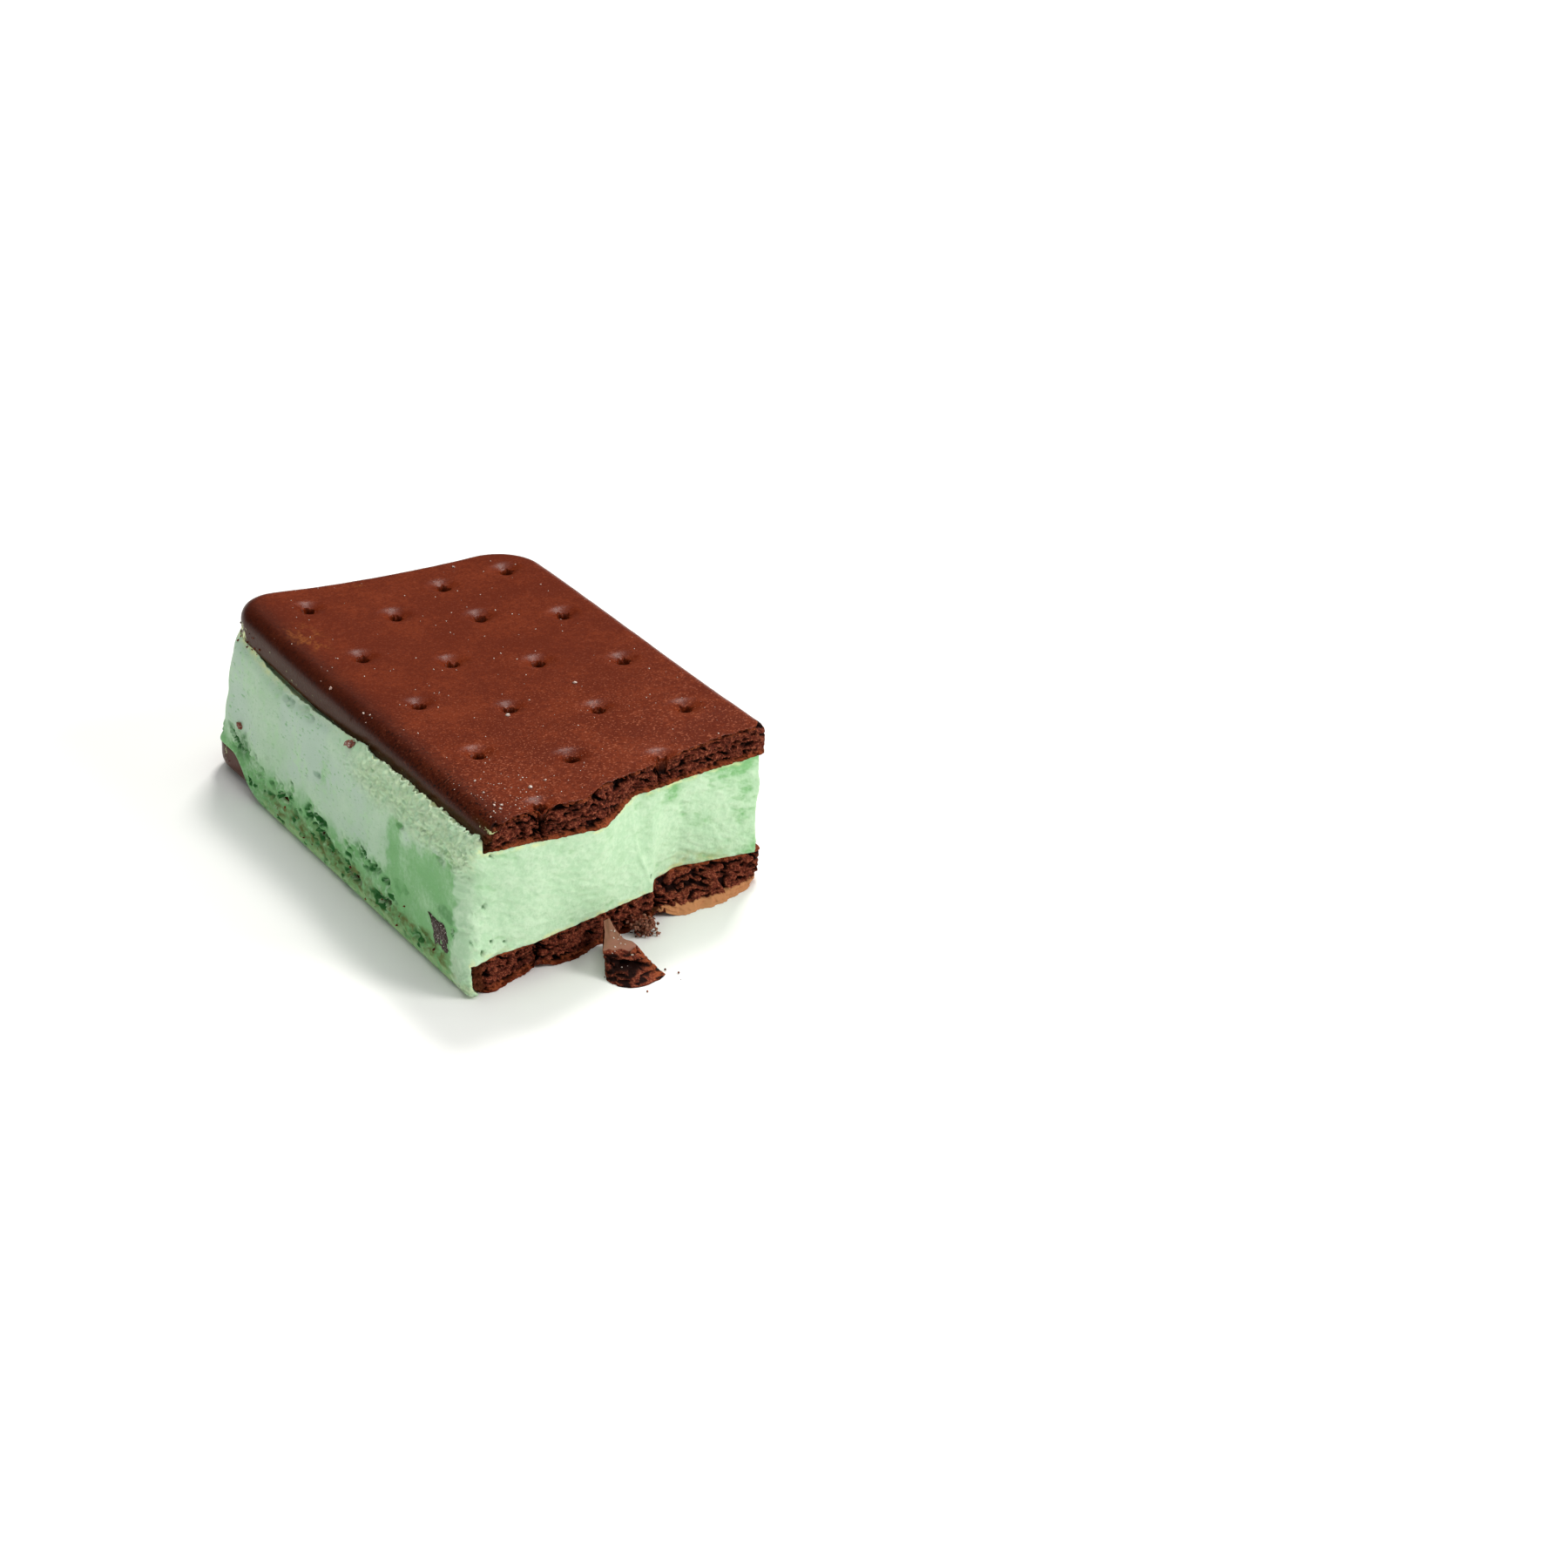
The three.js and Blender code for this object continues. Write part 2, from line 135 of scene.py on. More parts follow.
# Top edge of the smear: [distance along the bar, height]
SMEAR_LIP = (
    (-6, 23), (0, 22.4), (20, 22.1), (28, 21.8), (36, 21.2), (47, 20.3), (58, 20), (66, 20.7),
    (78, 21.7),
)
SMEAR_HOLLOW = 4.6  # how much higher the foot of the smear lies at the baked end
SMEAR_HOLLOW_START = 60
SMEAR_HOLLOW_END = 70
LIP_ROUNDING = 1.2  # how far the top of the smear leans in to the upper wafer
LIP_GROOVE = 0.7  # depth of the groove between the smear and the upper wafer
FRONT_EDGE_RADIUS = 3.8  # rounding where the smear turns into the broken front, half-way up
CORNER_RECESS = 1.5  # how far the broken front stands back half-way up its left corner
TEAR_SLANT = 20  # degrees by which the tears of the smear slant down to the break
SMEAR_RIDGE = 64  # where the wiped smear ends, with a step back

# Where the smear's green, unfilmed part near the break ends, along the bar and up
GREEN_PART = (20, 16.6)
# Deep green patches of the smear, painted in the pits' shade colour; the one just above the big chip is its
# painted shadow: (along the bar, up, half its length, half its height, darkness)
DEEP_PATCHES = ((67, 6.6, 3, 2.6, 0.32), (1.6, 9.6, 3.2, 1.4, 0.3))

# Torn pits in the smeared side: (along the bar, up, half its length, half its height, depth)
SIDE_PITS = (
    (52, 5.2, 1.6, 0.6, 1.0), (50.5, 6.3, 0.8, 0.4, 0.5), (46.7, 5.5, 0.5, 0.4, 0.6),
    (48.5, 4.8, 0.5, 0.4, 0.6), (44, 6, 0.9, 0.7, 1.1), (42.1, 5.5, 0.6, 0.4, 0.8),
    (40.4, 5.1, 0.8, 0.5, 0.9), (38.7, 5, 0.5, 0.4, 0.6), (36.8, 3.5, 0.7, 0.4, 0.6),
    (35.4, 4.4, 0.6, 0.4, 0.6), (33.8, 3.4, 0.6, 0.4, 0.6), (31, 3.1, 1.0, 0.4, 0.8),
    (28.5, 3.2, 1.4, 0.7, 0.9), (23, 7.1, 1.8, 0.5, 1.1), (19.8, 6.5, 1.2, 0.5, 1.0),
    (19.4, 4, 1.0, 0.7, 1.3), (21.6, 3.6, 1.2, 0.5, 0.8), (28.8, 7.7, 1.2, 0.9, 0.4),
    (16.1, 7.5, 1.0, 0.9, 0.35), (13.8, 7.9, 0.8, 0.6, 0.35), (42, 12.6, 0.8, 0.4, 0.6),
    (60.3, 5.3, 0.6, 0.4, 0.5), (56.1, 5.6, 0.8, 0.4, 0.6), (61.9, 7.5, 0.4, 0.3, 0.5),
    (15.6, 16.4, 1.0, 0.5, 0.5), (10.6, 20.4, 1.2, 0.5, 0.4), (7.8, 21, 0.6, 0.4, 0.4),
    (9.6, 18.5, 0.7, 0.3, 0.5), (3.4, 16.6, 1.0, 0.4, 0.4), (10.9, 2.9, 0.9, 0.5, 0.6),
    (8.7, 2.8, 0.6, 0.4, 0.5), (53.5, 19.1, 2.0, 0.4, 0.5), (49, 19.7, 1.4, 0.4, 0.45),
    (46.3, 19.4, 1.2, 0.4, 0.45), (-0.4, 8, 0.5, 0.6, 0.7),
)
# Round pits in the broken front: (from the left side, up, radius, depth)
FRONT_PITS = (
    (1.6, 12, 0.45, 0.55), (2.6, 19.6, 0.4, 0.4), (30, 6.9, 0.4, 0.4), (1.6, 3.5, 0.5, 0.45),
    (0.6, 6, 0.4, 0.4), (2.4, 6.9, 0.35, 0.35), (4.4, 6.3, 0.3, 0.3), (-0.8, 7.6, 0.35, 0.35),
    (-0.6, 16.2, 0.4, 0.35),
)
# Painted shade in the front's pits
FRONT_PIT_DARKNESS = 0.45
# A crease down the broken front: (up, from the left side)
FRONT_CREASE = ((6.1, 30), (10.5, 28), (16, 26.6), (20, 26.2))

# Chocolate chips in the smeared side: (along the bar, up, thickness, length, height, tilt in
# degrees, how far its colour turns to orange-brown)
CHIPS = (
    (3.4, 6.2, 2.2, 6.2, 4.2, 32, 0),
    (34.7, 20.2, 1.2, 4.2, 1.3, -33, 1),
    (69, 9.1, 0.9, 1.5, 0.9, 10, 1),
)

# Wafer flake lying in front of the lower wafer
FLAKE_TIP = (21, -1)
FLAKE_LENGTH = 11.8
FLAKE_TIP_WIDTH = 1.4
FLAKE_END_WIDTH = 6
FLAKE_TIP_HEIGHT = 4.4
FLAKE_END_HEIGHT = 2.9
FLAKE_BEND = 1.5
FLAKE_END_SLOPE = 4.2
FLAKE_LOBE = 1.2  # how far the right corner of its torn end sticks out
FLAKE_MOUTH_DEPTH = 2  # how deep the gape in its torn end is
FLAKE_SEED = 44.5  # of the noise of its crumb

# Numbers from 0 to 1 that the points of the pieces carry for their materials; some of them carry painted
# shade for holes, pits, hollows and the wafers' left sides
WAFER_LAYERS = ("crumb", "cavity", "rim", "film", "tan", "dust", "stain")
ICE_CREAM_LAYERS = ("hollow", "film", "edge", "pit", "olive")
Tints = namedtuple("Tints", ICE_CREAM_LAYERS)

# Coarse grids of the blocks: columns across, rows along, layers up
WAFER_GRID = (110, 150, 14)
ICE_CREAM_GRID = (44, 96, 28)
ROOM_GRID = (60, 60, 12)
FLAKE_GRID = (30, 60, 20)
END_CROWDING = 0.5  # 0 spaces the rows evenly, and near 1 they crowd at both ends
SAME_LEVEL = 1e-6  # levels of a block that are nearer than this are one level

# The room cut out of the ice cream for a wafer: how far it runs out, and its gap to the side
ROOM_REACH = 12
ROOM_CLEARANCE = 0.05

# Corner radius, seen from above, between the break and the right side of a wafer
BREAK_CORNER_RADIUS = 1.8
# Tan stains on the upper wafer: (from the left side, along the bar, half its width, half its length)
STAINS = ((5.6, 60, 2.6, 5), (19.6, 73.7, 1.6, 1.2))

# Bands of height in which crumbs stick to the right side and to the baked end
RIGHT_CRUMB_BANDS = ((5.2, 8), (17.5, 19.8), (6, 19))
BACK_CRUMB_BANDS = ((5.2, 7.5), (17.5, 20))
# Where crumbs lie on the table round the flake, across and along
CRUMB_FIELD = ((16, 27), (-15, -5))
# Heap of fine crumbs beside the flake: its middle, and half its size each way
CRUMB_HEAP = (27.4, 0.3, 1)
CRUMB_HEAP_SIZE = (1.7, 1.6, 1.2)
CRUMB_CLEARANCE = 0.02  # crumbs on the table stay that far above it
# How far the middle of a stuck crumb or grain stands off the face, in radii
CRUMB_STANDOFF = 0.3
GRAIN_STANDOFF = 0.25

# The larger grains of sugar on the upper wafer: (from the left side, along the bar, radius)
LARGE_GRAINS = (
    (11.4, 2.5, 0.42), (5.8, 7.7, 0.2), (5.2, 4, 0.22), (4.8, 0.1, 0.24), (5.7, -0.3, 0.22),
    (5, -1.3, 0.24), (3.9, -1.5, 0.16), (3, -2.5, 0.14), (14.2, 3.6, 0.22), (21.2, 5.7, 0.16),
    (1.9, 44.3, 0.3), (2.2, 34.4, 0.22), (2.6, 33.2, 0.18), (32.3, 29.2, 0.3), (17.2, 43, 0.15),
    (35.6, 73.6, 0.28), (19.2, 24.1, 0.35),
)
# The small ones: a share of them lies at the front left corner, given as its middle and spread
# across and along, and the rest between these places across and along.
CORNER_GRAIN_SHARE = 0.3
CORNER_GRAINS = ((7, 4.5), (2, 4.5))
GRAIN_FIELD = ((1, 47), (-1, 76))

# Places well outside the bar, from which rays look for its faces
LEFT_OF_BAR = -12
RIGHT_OF_BAR = 60
BEHIND_BAR = 90
ABOVE_BAR = 40

# Where the random draws of the crumbs and the grains start
CRUMB_SEED = 5107
GRAIN_SEED = 338

# Camera: its place in the frame in metres, and its turns in degrees
CAMERA_PLACE = (-0.24927, -0.491072, 0.283937)
CAMERA_HEADING = 30.959
CAMERA_PITCH = 26.471
CAMERA_ROLL = 1.058
CAMERA_LENS = 100
CAMERA_SENSOR = 36
CAMERA_CLIP_START = 0.01

# Softboxes, all turned to the middle of the part: places and sizes in metres
Softbox = namedtuple("Softbox", "name place width height watts tint")
SOFTBOXES = (
    Softbox("key", (0.75, -0.75, 0.62), 0.5, 0.5, 9.5, (1, 0.985, 0.96)),
    Softbox("overhead", (0.05, 0.05, 1.1), 1.1, 1.1, 6.4, (1, 1, 1)),
    Softbox("fill", (-0.95, -0.55, 0.4), 0.7, 0.5, 2.1, (0.86, 0.95, 0.93)),
    Softbox("sheen", (0.46, 0.47, 0.94), 0.25, 0.25, 8, (1, 0.98, 0.95)),
)
SOFTBOX_TARGET = (0, 0, 0.012)
STUDIO_COLOUR = (0.96, 0.98, 0.95, 1)
STUDIO_STRENGTH = 0.15

# Floor in metres, just under the level of the table so that it doesn't cut the part
FLOOR_HALF_SIZE = 3
FLOOR_SQUARES = 8
FLOOR_DROP = 0.00005


def clamp(value, low=0.0, high=1.0):
    return max(low, min(high, value))


def lerp(start, end, fraction):
    return start + (end - start) * fraction


def smoothstep(low, high, value):
    t = clamp((value - low) / (high - low))
    return t * t * (3 - 2 * t)


def bell(value):
    """1 at 0, falling off softly to both sides."""
    return math.exp(-value * value)


def ripple(a, b, seed):
    """Noise from about -1 to 1 over a face, with one spot for each unit of a and b."""
    return noise.noise((a, b, seed))


def torn_ripple(a, b, seed, smoothness=0.7, lacunarity=2.2, octaves=4):
    """A ripple with finer and finer ones on top, as on a torn face."""
    return noise.fractal((a, b, seed), smoothness, lacunarity, octaves)


def oval_reach(a, b, middle_a, middle_b, half_a, half_b):
    """How far a point of a face lies from an oval's middle: 1 on the oval itself."""
    return math.hypot((a - middle_a) / half_a, (b - middle_b) / half_b)


def slanted(a, b, degrees):
    """A point of a face, measured along and across lines that slope by that angle."""
    slope = math.radians(degrees)
    return a * math.cos(slope) + b * math.sin(slope), b * math.cos(slope) - a * math.sin(slope)


def linear(red, green, blue):
    """A display colour, from 0 to 255, as the linear colour that shaders use."""
    channels = [channel / 255 for channel in (red, green, blue)]
    return tuple(c / 12.92 if c <= 0.04045 else ((c + 0.055) / 1.055) ** 2.4 for c in channels)


# ---------------------------------------------------------------- sizes and colours to change


def length(name, description, millimetres):
    return FloatProperty(name=name, description=description, default=millimetres * MM, unit="LENGTH")


def colour(name, description, red, green, blue):
    return FloatVectorProperty(
        name=name, description=description, default=linear(red, green, blue),
        subtype="COLOR", min=0, max=1,
    )


def number(name, description, count):
    return IntProperty(name=name, description=description, default=count, min=0)


class SandwichSizes(bpy.types.PropertyGroup):
    cavity_depth: length("Cavity depth", "How far the holes in the broken crumb go in", 1.3)
    crumb_lumps: length("Crumb lumps", "Height of the lumps of the broken crumb", 0.3)
    dip_depth: length("Dip depth", "Depth of the soft dip round a docking hole", 0.82)
    pit_depth: length("Pit depth", "Depth of a docking hole below its dip", 1.9)
    fluff: length("Fluff", "Height of the torn relief on the broken ice cream", 0.15)
    smear: length("Smear", "Height of the waves in the wiped ice cream", 0.22)
    torn_smear: length("Torn smear", "Height of the rough patches of the wiped ice cream", 0.42)
    tear_depth: length("Tear depth", "Depth of the short tears in the wiped ice cream", 0.8)
    crumb_count: number("Crumbs", "Loose crumbs on the ice cream and the table", 150)
    flake_grain_count: number("Flake grains", "Sugar grains on the flake's skin", 26)
    heap_count: number("Heap crumbs", "Fine crumbs in the heap beside the flake", 240)
    grain_count: number("Grains", "Sugar grains scattered over the upper wafer", 230)


class SandwichColours(bpy.types.PropertyGroup):
    skin: colour("Skin", "Baked outer face of the wafers", 90, 29, 7)
    skin_worn: colour("Worn skin", "Lighter mottling of the baked face", 124, 51, 22)
    crumb: colour("Crumb", "Broken inside of the wafers", 98, 40, 27)
    # Painted shade in the crumb's holes and low lumps, in the skin's pores and docking holes, and along the
    # upper wafer's left rounding
    crumb_shade: colour("Deep crumb", "Inside of the holes in the crumb", 26, 7, 4)
    # Painted highlight on the crumb's raised ridges, also used for the skin's glints
    crumb_ridge_highlight: colour("Crumb ridges", "Thin light edges in the crumb", 160, 90, 64)
    crumb_rim: colour("Crumb rims", "Crumb beside the skin and the ice cream", 148, 74, 42)
    tan: colour("Tan skin", "Pale strip under the lower wafer", 188, 130, 88)
    stain: colour("Stain", "Tan stain on the upper wafer", 132, 74, 32)
    # Painted shade down the wafers' left sides, laid where the wiped cream is thin
    wiped: colour("Wiped side", "Thin cream wiped over the side of a wafer", 66, 30, 4)
    flake_skin: colour("Flake skin", "Dusty skin of the fallen flake", 148, 102, 84)
    mint: colour("Mint", "Broken ice cream", 184, 220, 180)
    # Paler mint, partly tone at random and partly painted highlight on the raised bits of the bump
    pale_mint_and_highlight: colour("Bright mint", "Raised parts of the ice cream", 208, 234, 201)
    # Deeper green of the unfilmed and low parts, and painted shade in the hollows, under the upper wafer
    # and round the pits
    deep_mint_and_shade: colour("Deep mint", "Hollows of the ice cream", 112, 180, 106)
    # Painted shade in the torn pits and tears of the smear, in the pits of the broken front, and in the
    # dark patches, one of them the big chip's shadow
    pit: colour("Pit", "Floor of the torn pits", 28, 100, 34)
    olive: colour("Olive smear", "Smear stained by crumbs near the table", 108, 116, 58)
    film: colour("Film", "Wiped, frosty film of the smear", 187, 212, 191)
    cream_edge: colour("Cream edge", "Melted edge beside the wafers", 222, 232, 170)
    chip: colour("Chip", "Dark chocolate", 52, 30, 24)
    chip_bloom: colour("Chip bloom", "Grey bloom on the chocolate", 140, 116, 106)
    chip_warm: colour("Warm chip", "Chips with a crust of wafer", 128, 66, 46)
    frost: colour("Frost", "Sugar and ice grains", 236, 226, 214)


# ---------------------------------------------------------------- shader building


class Value:
    """A node's output in an expression: each operator adds a Math node."""

    def __init__(self, shade, socket):
        self.shade = shade
        self.socket = socket

    def _math(self, operation, first, second):
        return self.shade.add("ShaderNodeMath", {"operation": operation}, {0: first, 1: second})

    def __add__(self, other):
        return self._math("ADD", self, other)

    def __sub__(self, other):
        return self._math("SUBTRACT", self, other)

    def __rsub__(self, other):
        return self._math("SUBTRACT", other, self)

    def __mul__(self, other):
        return self._math("MULTIPLY", self, other)

    __radd__ = __add__
    __rmul__ = __mul__


class Shade:
    """One material, built node by node on its Principled shader."""

    def __init__(self, name):
        self.material = bpy.data.materials.new(name)
        self.material.use_nodes = True
        self.tree = self.material.node_tree
        self.shader = self.tree.nodes["Principled BSDF"]
        coordinates = self.add("ShaderNodeTexCoord", output="Object")
        self.place = self.add(
            "ShaderNodeVectorMath", {"operation": "SCALE"}, {0: coordinates, "Scale": 1 / MM},
        )

    def add(self, kind, settings=None, inputs=None, output=0):
        node = self.tree.nodes.new(kind)
        for name, value in (settings or {}).items():
            setattr(node, name, value)
        for name, value in (inputs or {}).items():
            if isinstance(value, Value):
                self.tree.links.new(value.socket, node.inputs[name])
            else:
                node.inputs[name].default_value = value
        return Value(self, node.outputs[output])

    def stretched(self, across, along, up, turn=(0, 0, 0)):
        """The place on the piece, in millimetres, stretched so that a pattern is that much longer."""
        return self.add(
            "ShaderNodeMapping", {"vector_type": "TEXTURE"},
            {"Vector": self.place, "Scale": (across, along, up), "Rotation": turn},
        )

    def grain(self, size, detail=3.0, roughness=0.55, place=None):
        """Noise from 0 to 1 with spots of that size, in millimetres."""
        return self.add("ShaderNodeTexNoise", None, {
            "Vector": place or self.place, "Scale": 1 / size, "Detail": detail, "Roughness": roughness,
        })

    def mask(self, value, low, high):
        """0 where value is under low and 1 where it is over high."""
        return self.add("ShaderNodeMapRange", {"interpolation_type": "SMOOTHSTEP"}, {
            "Value": value, "From Min": low, "From Max": high,
        })

    def attributes(self, names):
        """The numbers that the piece's points carry under these names."""
        return [self.add("ShaderNodeAttribute", {"attribute_name": name}, output="Fac") for name in names]

    def mix(self, factor, first, second):
        """A colour between two: first where factor is 0, second where it is 1."""
        ends = [end if isinstance(end, Value) else (*end, 1) for end in (first, second)]
        return self.add(
            "ShaderNodeMix", {"data_type": "RGBA"}, {0: factor, 6: ends[0], 7: ends[1]}, output=2,
        )

    def coated(self, base, *coats):
        """A colour with others laid over it in turn: each coat is how much of it shows, and its colour."""
        for cover, coat in coats:
            base = self.mix(cover, base, coat)
        return base

    def bump(self, height, distance):
        """Normals of a relief: height from 0 to 1 stands for that many millimetres."""
        return self.add("ShaderNodeBump", None, {"Height": height, "Distance": distance * MM})

    def finish(self, linked, constants):
        for name, value in linked.items():
            self.tree.links.new(value.socket, self.shader.inputs[name])
        for name, value in constants.items():
            self.shader.inputs[name].default_value = value
        return self.material


def wafer_material(colours, name):
    """Baked chocolate wafer: satin skin, and dark open crumb where the crumb attribute is 1."""
    shade = Shade(name)
    crumb, cavity, rim, film, tan, dust, stain = shade.attributes(WAFER_LAYERS)

    along = shade.add("ShaderNodeSeparateXYZ", None, {0: shade.place}, output=1)
    near_break = 1 - shade.mask(along, BREAK_Y + 6, BREAK_Y + 46)
    patches = shade.grain(8, 3)
    mottle = shade.grain(0.9, 4, 0.65)
    speckle = shade.grain(0.36, 2, 0.6)
    worn = shade.mask(patches * 0.35 + mottle * 0.35 + speckle * 0.3, 0.44, 0.62)
    glints = shade.mask(shade.grain(0.3, 1, 0.4), 0.6, 0.7)
    pores = shade.mask(shade.grain(0.5, 2, 0.6), 0.54, 0.68)
    skin = shade.coated(
        colours.skin,
        (worn * (near_break * 0.15 + 0.5), colours.skin_worn),
        (glints * (near_break * 0.55 + 0.15), colours.crumb_ridge_highlight),
        # Painted shade in the pores, the docking holes and along the upper wafer's left rounding
        (shade.mask(pores * (near_break * 0.2 + 0.12) + cavity, 0, 1), colours.crumb_shade),
        (stain * shade.mask(speckle, 0.35, 0.6) * 0.8, colours.stain),
    )

    lumps = shade.grain(0.7, 4, 0.7)
    grit = shade.grain(0.3, 3, 0.7)
    broken = shade.coated(
        colours.crumb,
        # Painted highlight where the crumb's bump is high
        (shade.mask(lumps * 0.3 + grit * 0.7, 0.485, 0.615), colours.crumb_ridge_highlight),
        (rim * shade.mask(grit, 0.3, 0.5), colours.crumb_rim),
        # Painted shade where the crumb's bump is low, and in its holes
        (shade.mask(1 - lumps, 0.5, 0.62) * 0.7, colours.crumb_shade),
        (shade.mask(cavity, 0.2, 0.7), colours.crumb_shade),
    )

    base = shade.coated(
        skin,
        (crumb, broken),
        (shade.mask(dust + mottle * 0.4 - 0.2, 0.2, 0.8), colours.flake_skin),
        (shade.mask(tan * 0.62 + lumps * 0.9 - 0.45, 0.16, 0.56), colours.tan),
        # Painted shade down the wafers' left sides where the wiped cream is thin
        (shade.mask(film, 0.05, 0.6) * (0.7 + mottle * 0.3), colours.wiped),
        (shade.mask(film + mottle * 0.9 - 0.45, 0.72, 0.86), colours.cream_edge),
    )

    baked_relief = mottle * 0.35 + speckle * 0.65
    crumb_height = lumps * 0.5 + grit * 0.5
    return shade.finish(
        {
            "Base Color": base,
            "Roughness": 0.28 + mottle * 0.1 + crumb * 0.4 + dust * 0.2,
            "Normal": shade.bump(baked_relief * (1 - crumb) * 0.3 + crumb_height * crumb, 0.16),
        },
        {"Specular IOR Level": 0.07},
    )


def ice_cream_material(colours):
    """Mint ice cream: bright and fibrous where it is broken, under a frosty film where it is wiped."""
    shade = Shade("mint_ice_cream")
    hollow, film, edge, pit, olive = shade.attributes(ICE_CREAM_LAYERS)

    clouds = shade.grain(5, 2)
    strokes = shade.grain(0.9, 4, 0.6, shade.stretched(1.5, 1.4, 0.9, (0, math.radians(30), 0)))
    froth = shade.grain(0.7, 5, 0.7)
    # Paler where the bump is high: partly painted highlight, partly tone at random
    bright = shade.mask(clouds * 0.25 + strokes * 0.3 + froth * 0.45, 0.42, 0.6)
    # Deeper green: greener parts, and painted shade in hollows
    deep = shade.mask(hollow + (strokes - 0.5) * 0.4 + (froth - 0.5) * 0.9, 0.2, 0.95)
    specks = shade.mask(shade.grain(0.5, 2, 0.5, shade.stretched(1, 1.9, 0.8)), 0.6, 0.7)
    base = shade.coated(
        colours.mint,
        (bright * 0.85, colours.pale_mint_and_highlight),
        (deep * 0.85, colours.deep_mint_and_shade),
        (film * shade.mask(clouds * 0.5 + strokes * 0.5, 0.34, 0.52), colours.film),
        (film * specks * 0.7, colours.deep_mint_and_shade),
        (edge * shade.mask(strokes, 0.3, 0.62), colours.cream_edge),
        (olive * shade.mask(strokes, 0.3, 0.6), colours.olive),
        # Painted shade in pits and tears
        (shade.mask(pit * (0.55 + froth), 0.05, 0.66), colours.pit),
    )

    height = strokes * 0.4 + froth * 0.6
    return shade.finish(
        {
            "Base Color": base,
            "Roughness": 0.62 - film * 0.14 + froth * 0.12,
            "Normal": shade.bump(height * (1 - film * 0.6), 0.3),
        },
        {
            "Specular IOR Level": 0.35,
            "Subsurface Weight": 0.12,
            "Subsurface Radius": (1.0, 1.0, 0.8),
            "Subsurface Scale": 0.0012,
        },
    )


def chocolate_material(colours):
    """Dark chocolate chips with a grey bloom."""
    shade = Shade("dark_chocolate")
    [warm] = shade.attributes(("warm",))
    cloud = shade.grain(0.5, 4, 0.7)
    base = shade.coated(
        colours.chip,
        (warm, colours.chip_warm),
        (shade.mask(cloud, 0.54, 0.74) * 0.5, colours.chip_bloom),
        (shade.mask(shade.grain(0.32, 2, 0.6), 0.6, 0.68) * 0.8, colours.frost),
    )
    return shade.finish(
        {
            "Base Color": base,
            "Roughness": 0.35 + cloud * 0.3,
            "Normal": shade.bump(shade.grain(0.25, 3), 0.08),
        },
        {"Specular IOR Level": 0.4},
    )


def frost_material(colours):
    """Sugar and ice grains, a little clearer in places."""
    shade = Shade("sugar_frost")
    cloud = shade.grain(0.15, 2)
    base = shade.mix(shade.mask(cloud, 0.4, 0.65), colours.frost, colours.skin_worn)
    return shade.finish({"Base Color": base, "Roughness": 0.3 + cloud * 0.3}, {"Specular IOR Level": 0.5})


def floor_material():
    """Pale matt table top with a faint unevenness."""
    shade = Shade("pale_floor")
    cloud = shade.grain(60, 2)
    base = shade.mix(cloud, linear(244, 243, 241), linear(248, 247, 246))
    return shade.finish({"Base Color": base}, {"Roughness": 0.9, "Specular IOR Level": 0.1})


# ---------------------------------------------------------------- mesh building


def unit_block(columns, rows, layers):
    """A closed block from 0 to 1 each way, cut into columns along X, rows along Y and layers along Z."""
    block = bmesh.new()
    bmesh.ops.create_cube(block, size=1, matrix=Matrix.Translation((0.5, 0.5, 0.5)))
    for axis, count in enumerate((columns, rows, layers)):
        uncut = [e for e in block.edges if abs(e.verts[0].co[axis] - e.verts[1].co[axis]) > 0.5]
        bmesh.ops.subdivide_edges(block, edges=uncut, cuts=count - 1, use_grid_fill=True)
    return block


def refine(block, faces, cuts):
    """Cuts each edge of these faces into cuts + 1, and the faces with them."""
    edges = list({edge for face in faces for edge in face.edges})
    bmesh.ops.subdivide_edges(block, edges=edges, cuts=cuts, use_grid_fill=True)


def middle_of(face):
    return face.calc_center_median()


def new_layers(block, names):
    """One number for each point under each name, which the material reads as an attribute."""
    for name in names:
        block.verts.layers.float.new(name)
    return {name: block.verts.layers.float[name] for name in names}


def mesh_from(block, name):
    """The finished mesh of a block, which is freed."""
    mesh = bpy.data.meshes.new(name)
    block.to_mesh(mesh)
    block.free()
    return mesh


def new_object(name, data):
    """An object with that mesh, light or camera, linked into the scene."""
    item = bpy.data.objects.new(name, data)
    bpy.context.scene.collection.objects.link(item)
    return item


def mark(vert, layers, **numbers):
    """Writes a point's numbers for the material."""
    for name, value in numbers.items():
        vert[layers[name]] = value


def finish_piece(block, name, material, node=None):
    """Turns the mesh into an object in the frame that rides on the body, and stands for the node."""
    bmesh.ops.transform(block, matrix=TO_FRAME, verts=block.verts)
    mesh = mesh_from(block, name)
    mesh.shade_smooth()
    mesh.materials.append(material)
    piece = new_object(name, mesh)
    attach(piece, BODY)
    if node:
        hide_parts(node)


# ---------------------------------------------------------------- forms shared by the pieces


def along_line(line, x):
    """Place of a break line at x, between its key points and level beyond its ends."""
    inside = clamp(x, line[0][0], line[-1][0])
    after = next(i for i in range(1, len(line)) if line[i][0] >= inside)
    (start_x, start_y), (end_x, end_y) = line[after - 1], line[after]
    return lerp(start_y, end_y, (inside - start_x) / (end_x - start_x))


def side_at(side, y):
    """A side that stands at one place at the break and at another at the baked end."""
    return lerp(side[0], side[1], clamp(y / HALF_LENGTH))


def back_at(back, x):
    """The baked end, which isn't quite square to the sides."""
    return lerp(back[0], back[1], clamp(x / BAR_WIDTH))


def dense_at_ends(fraction):
    """Half-way along a row the spacing is widest, so that both ends of the bar get fine rows."""
    return fraction - END_CROWDING * math.sin(2 * math.pi * fraction) / (2 * math.pi)


